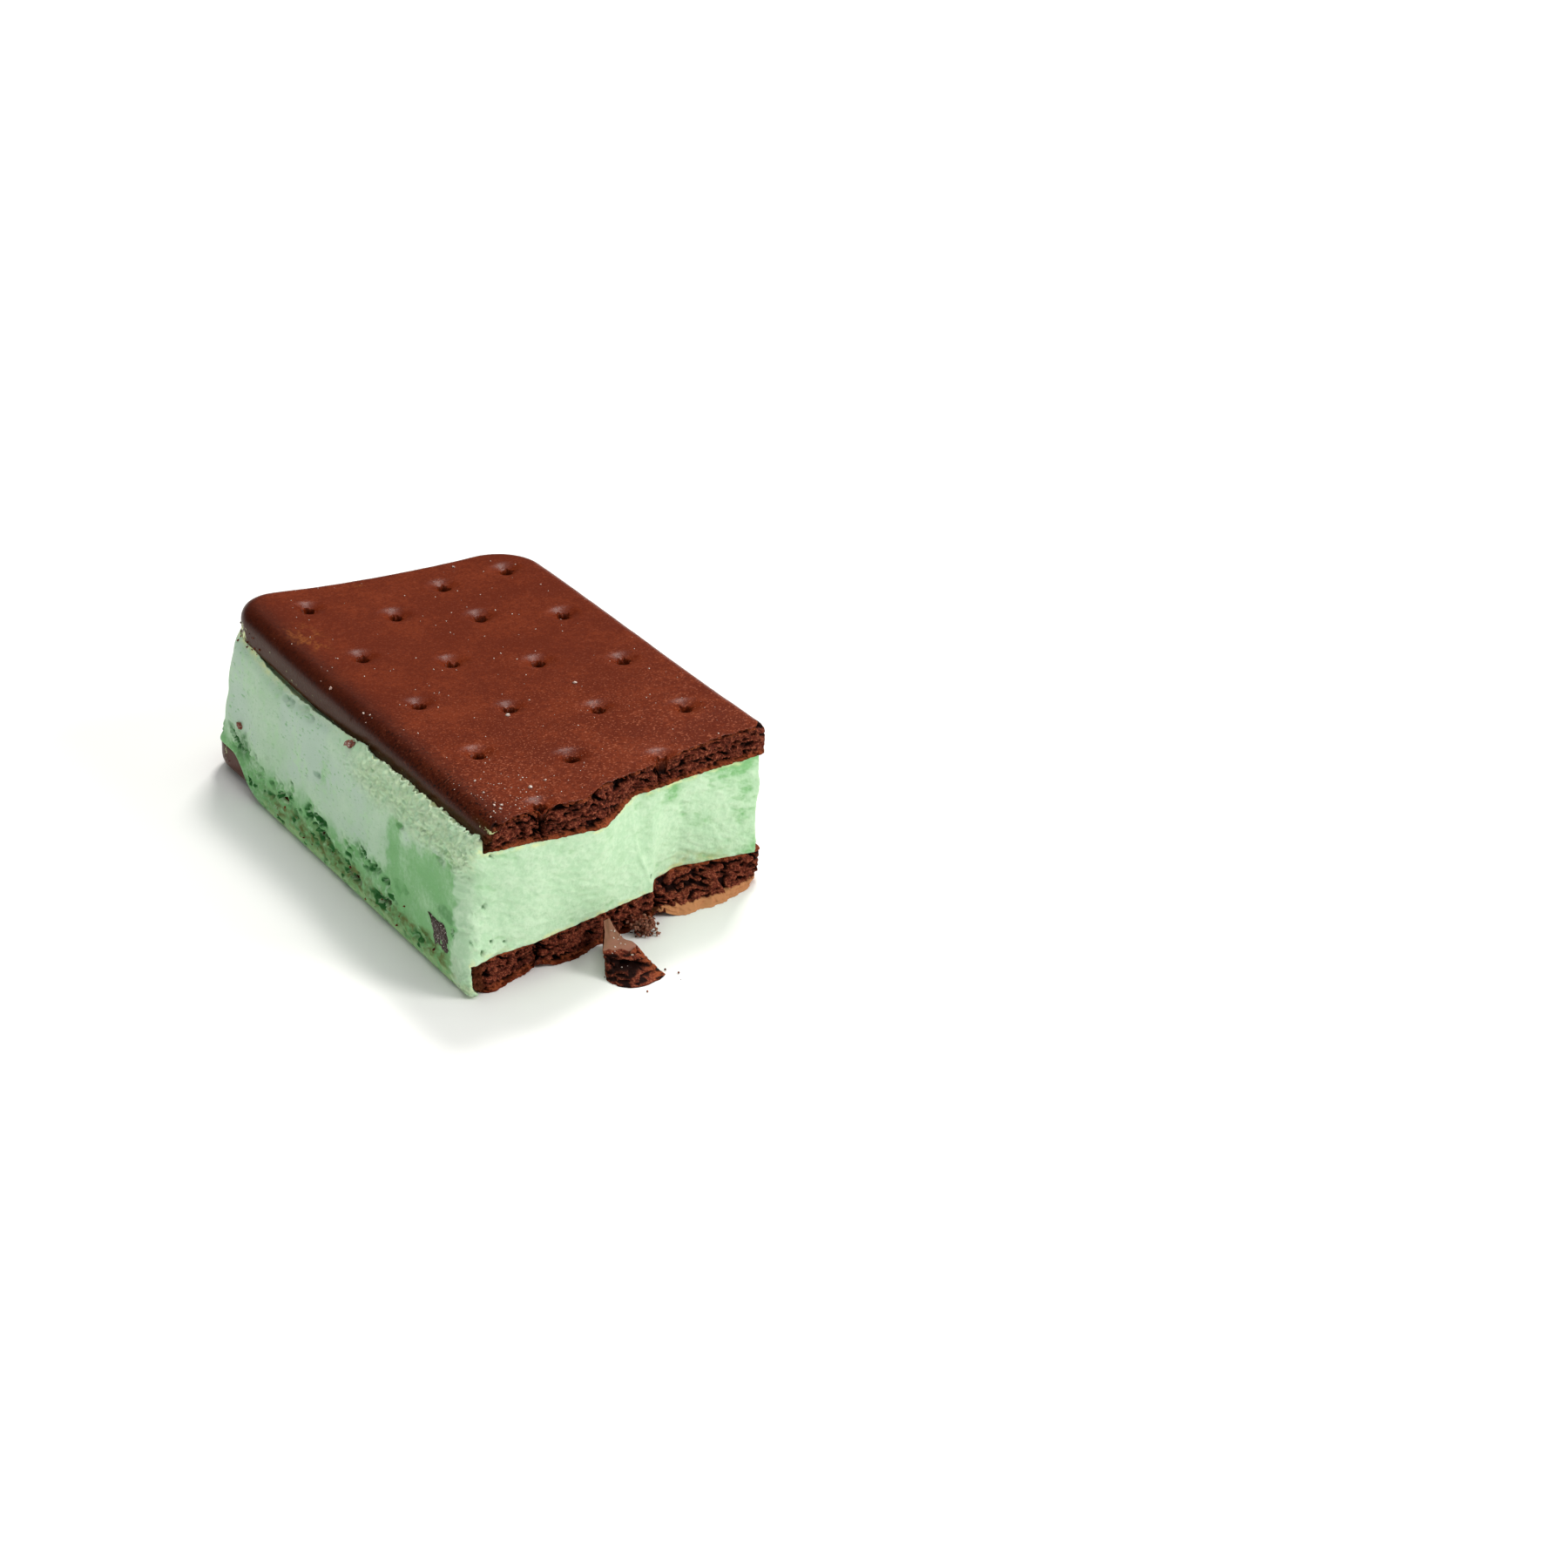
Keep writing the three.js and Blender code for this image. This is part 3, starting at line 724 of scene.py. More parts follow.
def round_back_corners(x, y, left, right, back, radius):
    """Moves a point in the square of a back corner onto the corner's quarter disc."""
    side = -1 if x < (left + right) / 2 else 1
    centre_x = left + radius if side < 0 else right - radius
    centre_y = back - radius
    across = (x - centre_x) * side / radius
    along = (y - centre_y) / radius
    if across <= 0 or along <= 0:
        return x, y
    return (
        centre_x + side * radius * across * math.sqrt(1 - along * along / 2),
        centre_y + radius * along * math.sqrt(1 - across * across / 2),
    )


def upper_wafer_drop(x, y):
    """How far the upper wafer lies under its flat height at a point of the bar."""
    across = clamp(x / BAR_WIDTH)
    towards_corner = (1 - across) ** 1.5 * smoothstep(HALF_LENGTH * 0.6, HALF_LENGTH, y)
    sag = UPPER_WAFER_SAG * math.sin(math.pi * across) * smoothstep(0, SAG_LENGTH, y)
    return sag - CORNER_CURL * towards_corner


def rounded_edge(distance, radius):
    """How far a face stands back at that distance from an edge with a rounding."""
    turn = clamp(radius - distance, 0, radius)
    return radius - math.sqrt(radius**2 - turn**2)


def skin_inset(depth):
    """How far a wafer's side stands in at that depth below its skin, where the edge is rounded."""
    return rounded_edge(depth, SKIN_EDGE_RADIUS)


def wafer_height(wafer, x, y, depth):
    if wafer.skin_up:
        return TOTAL_HEIGHT - depth - upper_wafer_drop(x, y)
    return depth


# ---------------------------------------------------------------- wafers


def prick_places(wafer):
    """Middles of a wafer's docking holes, with those that the break cuts through."""
    places = []
    for line in range(HOLE_LINES):
        x = FIRST_HOLE_LINE + line * HOLE_LINE_SPACING
        for row in range(-1, 5):
            wanted = LAST_HOLE - line * HOLE_SET_BACK - row * HOLE_SPACING
            y = min(LAST_HOLE, wanted) + HOLE_LINE_SHIFTS[line]
            if wanted <= HALF_LENGTH and y > along_line(wafer.skin_break, x) - 1:
                places.append((x, y))
    return places


def prick_drop(pricks, x, y, sizes):
    """How deep the skin is pressed in beside or in a docking hole, and the painted shade of the hole."""
    drop = pit = 0.0
    for prick_x, prick_y in pricks:
        reach = math.hypot(x - prick_x, y - prick_y)
        if reach < DIP_RADIUS:
            uneven = 1 + 0.25 * ripple(prick_x, prick_y, 3.3)
            drop += uneven * sizes.dip_depth / MM * (1 - smoothstep(0.1, DIP_RADIUS, reach)) ** 1.4
            ragged = PIT_RADIUS * (1 + 0.45 * ripple(x * 2, y * 2, 8.1))
            hole = smoothstep(ragged, 0.3 * ragged, reach)
            drop += uneven * sizes.pit_depth / MM * hole
            pit = max(pit, hole)
    return drop, pit


def crumb_relief(x, depth, seed, sizes):
    """Depth of the broken crumb below its outermost ridges, and how far down a hole it lies, which is also
    painted as shade.
    """
    warp = 0.5 * ripple(x / 3.2, depth / 2.2, seed)
    distances, centres = noise.voronoi((x / 1.3, (depth + warp) / 0.55, seed + 2.7))
    openness = smoothstep(-0.06, 0.18, noise.noise(centres[0] * 3.7))
    hole = openness * smoothstep(0.06, 0.3, distances[1] - distances[0])
    slit = smoothstep(0.05, 0.27, ripple(x / 2, (depth + 1.6 * warp) / 0.42, seed + 21.3))
    lumps = torn_ripple(x / 0.55, depth / 0.32, seed + 4)
    broad = ripple(x / 3.4, depth / 2.4, seed + 9)
    cavity = max(0.8 * hole, 0.9 * slit)
    relief = 0.4 + 0.3 * broad + cavity * sizes.cavity_depth / MM - lumps * sizes.crumb_lumps / MM
    return relief, cavity


def tan_strip(wafer, x, depth):
    """1 in the pale strip along the bottom edge of the lower wafer, right of its step."""
    if wafer.skin_up:
        return 0.0
    flaky = 0.85 + 0.35 * ripple(x / 1.1, 0.5, 6.5) + 0.15 * ripple(x / 0.35, 0.5, 2.5)
    return smoothstep(30.6, 31.8, x) * smoothstep(flaky + 0.15, flaky - 0.1, depth)


def groove_beside(pricks, wafer, x, depth):
    """Depth of the upright groove that a docking hole leaves where the break runs through it."""
    groove = 0.0
    for prick_x, prick_y in pricks:
        if abs(x - prick_x) < 1.6 and prick_y < along_line(wafer.skin_break, prick_x) + 2.4:
            wander = 0.25 * ripple(depth / 0.9, prick_x, 1.5)
            across = (x - prick_x - wander) / lerp(0.45, 0.22, depth / WAFER_THICKNESS)
            groove = max(groove, bell(across) * smoothstep(WAFER_THICKNESS, 3.2, depth))
    return groove


def wafer_depth(wafer, w):
    """Depth under the skin of a layer of a wafer's block: the layers are thinnest at the skin."""
    skinward = 1 - w if wafer.skin_up else w
    return WAFER_THICKNESS * (1 - math.cos(skinward * math.pi / 2))


WaferPlace = namedtuple("WaferPlace", "x depth left right front back corner_radius")


def wafer_place(wafer, u, v, w):
    """Where a point of a wafer's block lies across the bar and between its ends, before relief."""
    depth = wafer_depth(wafer, w)
    inset = skin_inset(depth)
    left = side_at(wafer.left, HALF_LENGTH * v) + inset
    right = side_at(wafer.right, HALF_LENGTH * v) - inset
    x = lerp(left, right, u)
    at_skin, at_inside = along_line(wafer.skin_break, x), along_line(wafer.inner_break, x)
    front = lerp(at_skin, at_inside, depth / WAFER_THICKNESS) + rounded_edge(right - x, BREAK_CORNER_RADIUS)
    back = back_at(wafer.back, x) - inset
    return WaferPlace(x, depth, left, right, front, back, wafer.corner_radius - inset)


def refine_wafer(block, wafer, pricks):
    """Cuts the block finer at the break, and more and more in the docking holes."""
    refine(block, [face for face in block.faces if middle_of(face).y < SAME_LEVEL], 3)
    skin_level = 1 if wafer.skin_up else 0
    for reach, cuts in ((0.9 * DIP_RADIUS, 1), (1.3 * PIT_RADIUS, 2)):
        near = []
        for face in block.faces:
            u, v, w = middle_of(face)
            if abs(w - skin_level) < SAME_LEVEL:
                place = wafer_place(wafer, u, v, w)
                y = lerp(place.front, place.back, dense_at_ends(v))
                if any(math.hypot(place.x - prick_x, y - prick_y) < reach for prick_x, prick_y in pricks):
                    near.append(face)
        refine(block, near, cuts)


def torn_face(wafer, pricks, place, sizes):
    """How far the break stands in at a place, the painted shade of its holes and grooves, and 1 in the tan
    strip.
    """
    x, depth = place.x, place.depth
    relief, cavity = crumb_relief(x, depth, wafer.seed, sizes)
    tan = tan_strip(wafer, x, depth)
    groove = groove_beside(pricks, wafer, x, depth)
    relief = lerp(relief, 0.2, max(0.85 * tan, 0.7 * smoothstep(1.4, 0, place.right - x)))
    return relief + 1.5 * groove, max(cavity * (1 - tan), groove), tan


def make_wafer(wafer, name, node, material, sizes):
    """A wafer from a block: rounded skin, pricked, and torn into open crumb at the break."""
    pricks = prick_places(wafer)
    block = unit_block(*WAFER_GRID)
    refine_wafer(block, wafer, pricks)

    layers = new_layers(block, WAFER_LAYERS)
    for vert in block.verts:
        v = vert.co.y
        place = wafer_place(wafer, *vert.co)
        x, depth = place.x, place.depth
        inner = depth / WAFER_THICKNESS
        front = place.front + 0.28 * ripple(x / 1.1, depth / 1.3, wafer.seed + 30)
        front += 0.16 * ripple(x / 0.36, depth / 0.4, wafer.seed + 31)
        inside = smoothstep(0, 0.06, inner) * smoothstep(1, 0.95, inner)
        cavity = tan = 0.0
        if inside > 0 and v < 0.5:
            relief, cavity, tan = torn_face(wafer, pricks, place, sizes)
            front += inside * relief
        y = lerp(front, place.back, dense_at_ends(v))
        x, y = round_back_corners(x, y, place.left, place.right, place.back, place.corner_radius)
        skin = 1 - inner
        drop, pit = prick_drop(pricks, x, y, sizes)
        drop *= skin
        if wafer.skin_up:
            drop += skin * (0.09 * ripple(x / 9, y / 9, 2.2) + 0.035 * ripple(x / 2.6, y / 2.6, 4.4))
        broken = smoothstep(0.012, 0, v) * smoothstep(0, 0.05, inner)
        shadow = 0.6 * smoothstep(8, 1.5, x) * (1 - broken) if wafer.skin_up else 0
        on_skin = smoothstep(0.1, 0, inner)
        # Painted shade in the crumb's holes and grooves, in the docking holes, and on the skin along the
        # upper wafer's left rounding
        mark(
            vert, layers,
            crumb=broken,
            cavity=max(cavity * inside * smoothstep(0.02, 0, v), pit * on_skin, shadow),
            rim=broken * max(smoothstep(0.2, 0.08, inner), smoothstep(0.86, 0.95, inner)),
            film=wiped_cream_and_side_shade(wafer, x, y, depth),
            tan=tan,
            stain=stain_on_wafer(wafer, x, y) * on_skin,
        )
        vert.co = (x, y, wafer_height(wafer, x, y, depth + drop))
    finish_piece(block, name, material, node)


def wiped_cream_and_side_shade(wafer, x, y, depth):
    """Cream wiped onto a wafer's side, thin and smooth and near 1 where it is thick; its lower values paint
    shade down the wafers' left sides.
    """
    if wafer.skin_up:
        beside = smoothstep(1.4, 0.7, x - side_at(wafer.left, y) - skin_inset(depth))
        corner = 0.8 * smoothstep(66, 72, y) * smoothstep(1, 2.6, depth)
        fringe = smoothstep(1.5, -1.5, y) * bell((depth - 1.2) / 0.5)
        return beside * max(0.6 * smoothstep(0.9, 2.6, depth), corner, 0.84 * fringe)
    corner = smoothstep(69.5, 73, y + ripple(y, depth, 3.5)) * smoothstep(9, 2, x)
    return max(0.45 * smoothstep(2, 0, x), 0.68 * corner)


def stain_on_wafer(wafer, x, y):
    """Curly lines of the tan stains near the baked end of the upper wafer."""
    if not wafer.skin_up:
        return 0.0
    reach = min(oval_reach(x, y, *stain) for stain in STAINS)
    curl = ripple(x / 2.2, y / 3, 71.5) + 0.4 * ripple(x / 0.8, y, 72.5)
    return smoothstep(1.3, 0.6, reach) * bell(curl / 0.13)


# ---------------------------------------------------------------- ice cream


def smear_face(y, z):
    """Left face of the smear at a height: it leans out towards the table."""
    up = clamp(z / ICE_CREAM_TOP)
    tuck = SMEAR_TUCK * max(0, 1 - z / SMEAR_TUCK_HEIGHT) ** 2
    return lerp(side_at(SMEAR_AT_FOOT, y), side_at(SMEAR_AT_TOP, y), up) + tuck


def smear_lip_top(y):
    return along_line(SMEAR_LIP, y)


def smear_surface(y, z):
    """Left face of the smear with its top leaning in to the upper wafer."""
    lip = smear_lip_top(y)
    return smear_face(y, z) + LIP_ROUNDING * smoothstep(lip - 2.6, lip + 0.3, z) ** 2


def smear_foot(y):
    return SMEAR_CLEARANCE + SMEAR_HOLLOW * smoothstep(SMEAR_HOLLOW_START, SMEAR_HOLLOW_END, y)


def pit_at(pits, a, b):
    """Depth of some jagged pits at a point of a face, the painted shade in them, and the painted shade
    round them.
    """
    depth = darkness = shade_round_pits = 0.0
    for pit_a, pit_b, half_a, half_b, pit_depth in pits:
        if abs(a - pit_a) < 4 * half_a and abs(b - pit_b) < 4 * half_b:
            reach = oval_reach(a, b, pit_a, pit_b, half_a, half_b)
            torn = bell(reach) + 0.4 * torn_ripple(a / 0.9, b / 0.5, 41.5, lacunarity=2.1, octaves=3)
            depth = max(depth, pit_depth * smoothstep(0.3, 0.55, torn))
            darkness = max(darkness, smoothstep(0.32, 0.85, torn) * min(1, pit_depth**2))
            shade_round_pits = max(shade_round_pits, bell(reach / 2) * min(1, pit_depth))
    return depth, darkness, shade_round_pits


def torn_patch(y, z):
    """1 where the smear is torn: under its lip near the break, and low down further along."""
    wander = 1.2 * ripple(y / 3, z / 3, 7.7)
    lip_band = smoothstep(15, 18.5, z + wander) * smoothstep(38, 26, y)
    low_limit = lerp(3.5, 8, smoothstep(14, 20, y)) + wander
    low_band = smoothstep(low_limit + 1.5, low_limit - 1, z)
    return max(lip_band, low_band * smoothstep(-0.4, 0.1, ripple(y / 4, z / 3, 9.7)))


def tear_at(y, z):
    """1 inside the short tears of the smear, which run along the bar, and 0 outside them."""
    along, across = slanted(y, z, TEAR_SLANT)
    ragged = 0.25 * ripple(along / 0.6, across / 0.4, 32.5)
    return smoothstep(0.12, 0.5, ripple(along / 2.4, across / 0.95, 31.5) + ragged)


def smear_relief(y, z, sizes):
    """How far the smeared side stands in from its even face, the painted shade of its pits and tears, and
    the painted shade of its hollows.
    """
    wave = ripple(y / 7, z / 4.5, 3.5) + 0.6 * ripple(y / 2.9, z / 2.4, 8.5)
    wipe = ripple(y / 1.6, z / 5.5, 12.5)
    torn = torn_patch(y, z)
    fluff = torn_ripple(y / 0.9, z / 0.55, 15.5, smoothness=0.75)
    pit_depth, darkness, shade_round_pits = pit_at(SIDE_PITS, y, z)
    tear = torn * tear_at(y, z) * lerp(0.66, 0.12, smoothstep(9, 13, z))
    step = 0.4 * smoothstep(SMEAR_RIDGE - 0.8, SMEAR_RIDGE + 1, y + 0.5 * ripple(z / 2, 0.5, 5.5))
    crumbly = sizes.torn_smear * torn * fluff * lerp(1, 1.35, smoothstep(13, 17, z))
    rough = (sizes.smear * (wave + 0.35 * wipe) + crumbly) / MM
    hollow = clamp(0.35 + 1.2 * fluff * torn + 0.4 * wave + 0.7 * shade_round_pits)
    return rough + max(pit_depth, tear * sizes.tear_depth / MM) + step, max(darkness, tear), hollow


def front_relief(x, z, sizes):
    """How far the broken face stands in from its even shape, the painted shade of its pits, and the painted
    shade of its hollows.
    """
    along, across = slanted(x, z, -TEAR_SLANT)
    fibres = torn_ripple(along / 1.3, across / 0.65, 21.5)
    swell = ripple(x / 5.5, z / 4, 5.5) + 0.5 * ripple(x / 2.3, z / 2.1, 6.5)
    depth = darkness = 0.0
    for pit_x, pit_z, radius, pit_depth in FRONT_PITS:
        reach = oval_reach(x, z, pit_x, pit_z, radius, radius)
        hole = smoothstep(1.15, 0.5, reach * (1 + 0.3 * ripple(x * 2, z * 2, 1.5)))
        depth = max(depth, pit_depth * hole)
        darkness = max(darkness, hole)
    beyond = x - along_line(FRONT_CREASE, z)
    step = 0.35 * smoothstep(-0.3, 0.4, beyond) * smoothstep(4.5, 1, beyond) - 0.2 * bell(beyond / 0.35)
    relief = (fibres + 0.6 * swell) * sizes.fluff / MM + depth + step
    return relief, darkness, clamp(0.3 + 0.7 * fibres)


def softened_line(line, x, reach):
    """Place of a break line at x, with the line's corners softened over that reach."""
    return sum(along_line(line, x + aside * reach) for aside in (-1, -0.5, 0, 0.5, 1)) / 5


def ice_cream_front(x, z):
    """Broken front face of the ice cream, between the inner break lines of both wafers."""
    up = clamp((z - LOWER_WAFER_TOP) / (UPPER_WAFER_FOOT - LOWER_WAFER_TOP))
    recess = CORNER_RECESS * math.sin(math.pi * up) * smoothstep(9, -2, x)
    at_foot = softened_line(LOWER_WAFER.inner_break, x, 0.3)
    at_top = softened_line(UPPER_WAFER.inner_break, x, 1.4)
    return lerp(at_foot, at_top, up) + recess


def wafer_room(wafer):
    """The room that a wafer takes in the ice cream, run out past the break, the right side and its skin."""
    block = unit_block(*ROOM_GRID)
    right = BAR_WIDTH + ROOM_REACH
    for vert in block.verts:
        u, v, w = vert.co
        depth = wafer_depth(wafer, w)
        inset = skin_inset(depth) + ROOM_CLEARANCE
        left = side_at(wafer.left, HALF_LENGTH * v) + inset
        x = lerp(left, right, u)
        back = back_at(wafer.back, x) - inset
        y = lerp(-2 * ROOM_REACH, back, dense_at_ends(v))
        x, y = round_back_corners(x, y, left, right, back, wafer.corner_radius - inset)
        beyond_skin = ROOM_REACH if depth < SAME_LEVEL else 0
        vert.co = (x, y, wafer_height(wafer, x, y, depth - beyond_skin))
    return block


def cut_away(block, cutters):
    """The block with the cutters' solids taken out of it."""
    body = new_object("uncut", mesh_from(block, "uncut"))
    tools = [new_object("cutter", mesh_from(cutter, "cutter")) for cutter in cutters]
    for tool in tools:
        cut = body.modifiers.new("cut", "BOOLEAN")
        cut.operation = "DIFFERENCE"
        cut.solver = "MANIFOLD"
        cut.object = tool
    finished = bpy.data.meshes.new_from_object(body.evaluated_get(bpy.context.evaluated_depsgraph_get()))
    result = bmesh.new()
    result.from_mesh(finished)
    for item in (body, *tools):
        bpy.data.objects.remove(item)
    bpy.data.meshes.remove(finished)
    return result


def hidden_waves(a, z, seed, fine_seed):
    """Gentle unevenness of the sides that aren't wiped or broken."""
    return 0.45 * ripple(a / 6, z / 4, seed) + 0.12 * ripple(a / 1.8, z / 1.5, fine_seed)


def ice_cream_place(u, v, w, sizes):
    """Where a point of the ice cream's block lies in the bar."""
    rough_y = lerp(-4, HALF_LENGTH, dense_at_ends(v))
    ragged = 0.35 * ripple(rough_y / 2.1, u * 6, 2.5) + 0.35 * ripple(rough_y / 0.6, u * 20, 4.5)
    lip_top = smear_lip_top(rough_y) + ragged * lerp(0.35, 1, smoothstep(38, 26, rough_y))
    groove = LIP_GROOVE * smoothstep(0, 0.014, u)
    top = lerp(lip_top - groove, UPPER_WAFER_FOOT + 1, smoothstep(0.03, 0.06, u))
    z = lerp(smear_foot(rough_y), top, w)

    left = smear_surface(rough_y, z)
    if smoothstep(0.02, 0, u) > 0:
        left += smoothstep(0, 0.05, w) * smear_relief(rough_y, z, sizes)[0]
    right = side_at(ICE_CREAM_RIGHT, rough_y) + hidden_waves(rough_y, z, 1.5, 2.5)
    x = lerp(left, right, u)
    back = ICE_CREAM_BACK + hidden_waves(x, z, 6.5, 3.5)
    front = ice_cream_front(x, z)
    at_front = smoothstep(0.02, 0, v)
    if at_front > 0:
        front += at_front * front_relief(x, z, sizes)[0]
    y = lerp(front, back, dense_at_ends(v))

    uneven = 1 + 0.3 * ripple(z / 1.4, 0.5, 51.5) + 0.15 * ripple(z / 0.5, 0.5, 52.5)
    radius = FRONT_EDGE_RADIUS * (0.45 + 0.55 * math.sin(math.pi * clamp((z - 3) / 17))) * uneven
    if x - left < radius:
        x, mirrored = round_back_corners(x, -y, left, right, -front, radius)
        y = -mirrored
    radius = lerp(*ICE_CREAM_CORNER_RADII, clamp(z / ICE_CREAM_TOP))
    return *round_back_corners(x, y, left, right, back, radius), z


def make_ice_cream(material, sizes):
    """The layer of ice cream and its smear in one body, cut clear of both wafers."""
    block = unit_block(*ICE_CREAM_GRID)

    def on(face, axis, level):
        return abs(middle_of(face)[axis] - level) < SAME_LEVEL

    lip = 4 / ICE_CREAM_GRID[0]
    refine(block, [f for f in block.faces if on(f, 0, 0) or (on(f, 2, 1) and middle_of(f).x < lip)], 3)
    refine(block, [f for f in block.faces if on(f, 1, 0)], 3)
    refine(block, [f for f in block.faces if (on(f, 0, 1) or on(f, 1, 1)) and not on(f, 1, 0)], 1)
    for vert in block.verts:
        vert.co = ice_cream_place(*vert.co, sizes)

    block = cut_away(block, [wafer_room(UPPER_WAFER), wafer_room(LOWER_WAFER)])
    block.normal_update()
    tint_ice_cream(block, sizes)
    finish_piece(block, "mint_filling", material, "ice_cream")


def smear_tints(y, z, sizes):
    """The smeared side's numbers: filmed over high up, greener near the break, torn and olive low down."""
    _, dark, dip = smear_relief(y, z, sizes)
    torn = torn_patch(y, z)
    wander = ripple(y / 2, z / 1.5, 9.5)
    ragged = wander + 0.7 * ripple(y / 0.7, z / 0.5, 8.5)
    torn_edge = 3 * ripple(y / 3.4, z / 2.6, 13.5) + 1.2 * ragged
    turning = smoothstep(0.2, -1.6, y + ragged)
    green_along = smoothstep(GREEN_PART[0] + 1.8, GREEN_PART[0] - 1.8, y + torn_edge)
    green_up = smoothstep(GREEN_PART[1] + 1.4, GREEN_PART[1] - 1.4, z + torn_edge)
    green = green_along * green_up * (1 - turning)
    low = smoothstep(9, 4.5, z + wander) * (1 - turning)
    # Painted shade in the hollows of the relief and round the pits, with the greener unfilmed and low parts
    hollow = 0.3 + 0.6 * (dip - 0.35) + max(0.58 * low, 0.5 * green)
    hollow -= 0.3 * turning + 0.36 * torn * smoothstep(12, 17, z)

    patch = smoothstep(-0.3, 0.35, ripple(y / 6.5, z / 5, 9.5))
    covered = smoothstep(5.5, 9.5, z + ragged) * (1 - green) * (1 - torn)
    # The dark patches are painted in the pits' shade colour; the one above the big chip is its painted
    # shadow
    for *oval, darkness in DEEP_PATCHES:
        reach = oval_reach(y, z, *oval)
        dark = max(dark, darkness * smoothstep(1.2, 0.5, reach + 0.3 * ragged))

    lip = smoothstep(smear_lip_top(y) - 1, smear_lip_top(y) - 0.2, z)
    foot = smoothstep(2.7, 1.6, z + 0.5 * wander) * smoothstep(62, 56, y)
    torn_lip = torn * smoothstep(13, 17, z)
    spots = smoothstep(-0.15, 0.2, ripple(y / 1.2, z / 0.6, 61.5) + 0.3 * ragged)
    band = smoothstep(1.4, 2.4, z + 0.5 * wander) * smoothstep(5.4, 4, z + wander) * smoothstep(-4, 3, y)
    return Tints(
        hollow=clamp(hollow),
        film=(0.45 + 0.55 * patch) * covered * (1 - 0.9 * turning),
        edge=max(smoothstep(50, 66, y) * lip, 0.2 * lip, 0.35 * foot, 0.22 * torn_lip),
        pit=dark * (1 - 0.6 * turning),
        olive=band * (0.45 + 0.55 * spots) * smoothstep(62, 52, y),
    )


def front_tints(x, y, z, sizes):
    """The broken face's numbers: painted shade in its hollows, pits and under the upper wafer, edges melted
    by the wafers, and a leak above the lower one.
    """
    _, dark, dip = front_relief(x, z, sizes)
    blotch = ripple(x / 4.5, z / 3, 15.5)
    # Painted shadow under the upper wafer
    shadow_under_wafer = smoothstep(26, 32, x) * smoothstep(16.5, 19.5, z + 2.5 * blotch)
    right_end = smoothstep(41, 47, x)
    beside_upper = smoothstep(19.4, 20, z + upper_wafer_drop(x, y))
    beside_lower = smoothstep(5.6, 5.1, z) * smoothstep(48, 40, x)
    melted = max(beside_upper, beside_lower) * smoothstep(-0.3, 0.3, ripple(x / 1.6, z / 0.8, 25.5))
    leak = smoothstep(7.8, 6, z + 1.5 * blotch) * smoothstep(34, 37, x) * smoothstep(45, 41, x)
    leak *= smoothstep(-0.5, 0.1, ripple(x / 1.1, z / 0.7, 26.5))
    foot = smoothstep(8, 5.5, z) * smoothstep(9, 3, x) * smoothstep(0, 0.35, ripple(x / 0.9, z / 0.6, 27.5))
    return Tints(
        hollow=clamp(0.45 * dip + 0.4 * blotch + 0.5 * shadow_under_wafer + 0.3 * right_end) + 0.3 * leak,
        film=0,
        edge=0.9 * melted + 0.45 * leak,
        pit=FRONT_PIT_DARKNESS * dark,
        olive=0.22 * leak + 0.4 * foot,
    )


def other_tints(x, y, z):
    """The numbers of the smooth right side and baked end."""
    seam = max(smoothstep(17.5, 20, z), smoothstep(7.5, 5.2, z))
    return Tints(
        hollow=0.15,
        film=0.35 * smoothstep(-0.2, 0.4, ripple(x / 5 + y / 5, z / 4, 19.5)),
        edge=clamp(0.9 * seam * (0.6 + ripple(x / 3 + y / 3, z / 2, 29.5))),
        pit=0,
        olive=0,
    )


def tint_ice_cream(block, sizes):
    """Writes where the ice cream is greener, the painted shade of its hollows, pits and tears, where it is
    filmed over and melted at an edge, and its stains.
    """
    layers = new_layers(block, ICE_CREAM_LAYERS)
    for vert in block.verts:
        x, y, z = vert.co
        facing_left = smoothstep(0.25, 0.6, -vert.normal.x)
        facing_front = smoothstep(0.25, 0.6, -vert.normal.y) * (1 - facing_left)
        facing_other = clamp(1 - facing_left - facing_front)
        shares = []
        if facing_left > 0 and x < SMEAR_REACH:
            shares.append((facing_left, smear_tints(y, z, sizes)))
        if facing_front > 0:
            shares.append((facing_front, front_tints(x, y, z, sizes)))
        if facing_other > 0:
            shares.append((facing_other, other_tints(x, y, z)))
        for name in ICE_CREAM_LAYERS:
            vert[layers[name]] = clamp(sum(share * getattr(tints, name) for share, tints in shares))


# ---------------------------------------------------------------- chips, flake, crumbs and grains


def add_lump(block, place, scales, turn, rough, subdivisions=1):
    """A rough lump, one of its kind, joined into the block."""
    matrix = Matrix.Translation(place) @ turn.to_matrix().to_4x4() @ Matrix.Diagonal((*scales, 1))
    for vert in bmesh.ops.create_icosphere(block, subdivisions=subdivisions, radius=1)["verts"]:
        uneven = 1 + rough * noise.noise(vert.co * 1.7 + Vector(place) * 3.1)
        vert.co = matrix @ (vert.co * uneven)


def random_turn(draw):
    return Matrix.Rotation(draw.uniform(0, math.tau), 3, "Z").to_quaternion() \
        @ Matrix.Rotation(draw.uniform(-1, 1), 3, "X").to_quaternion()


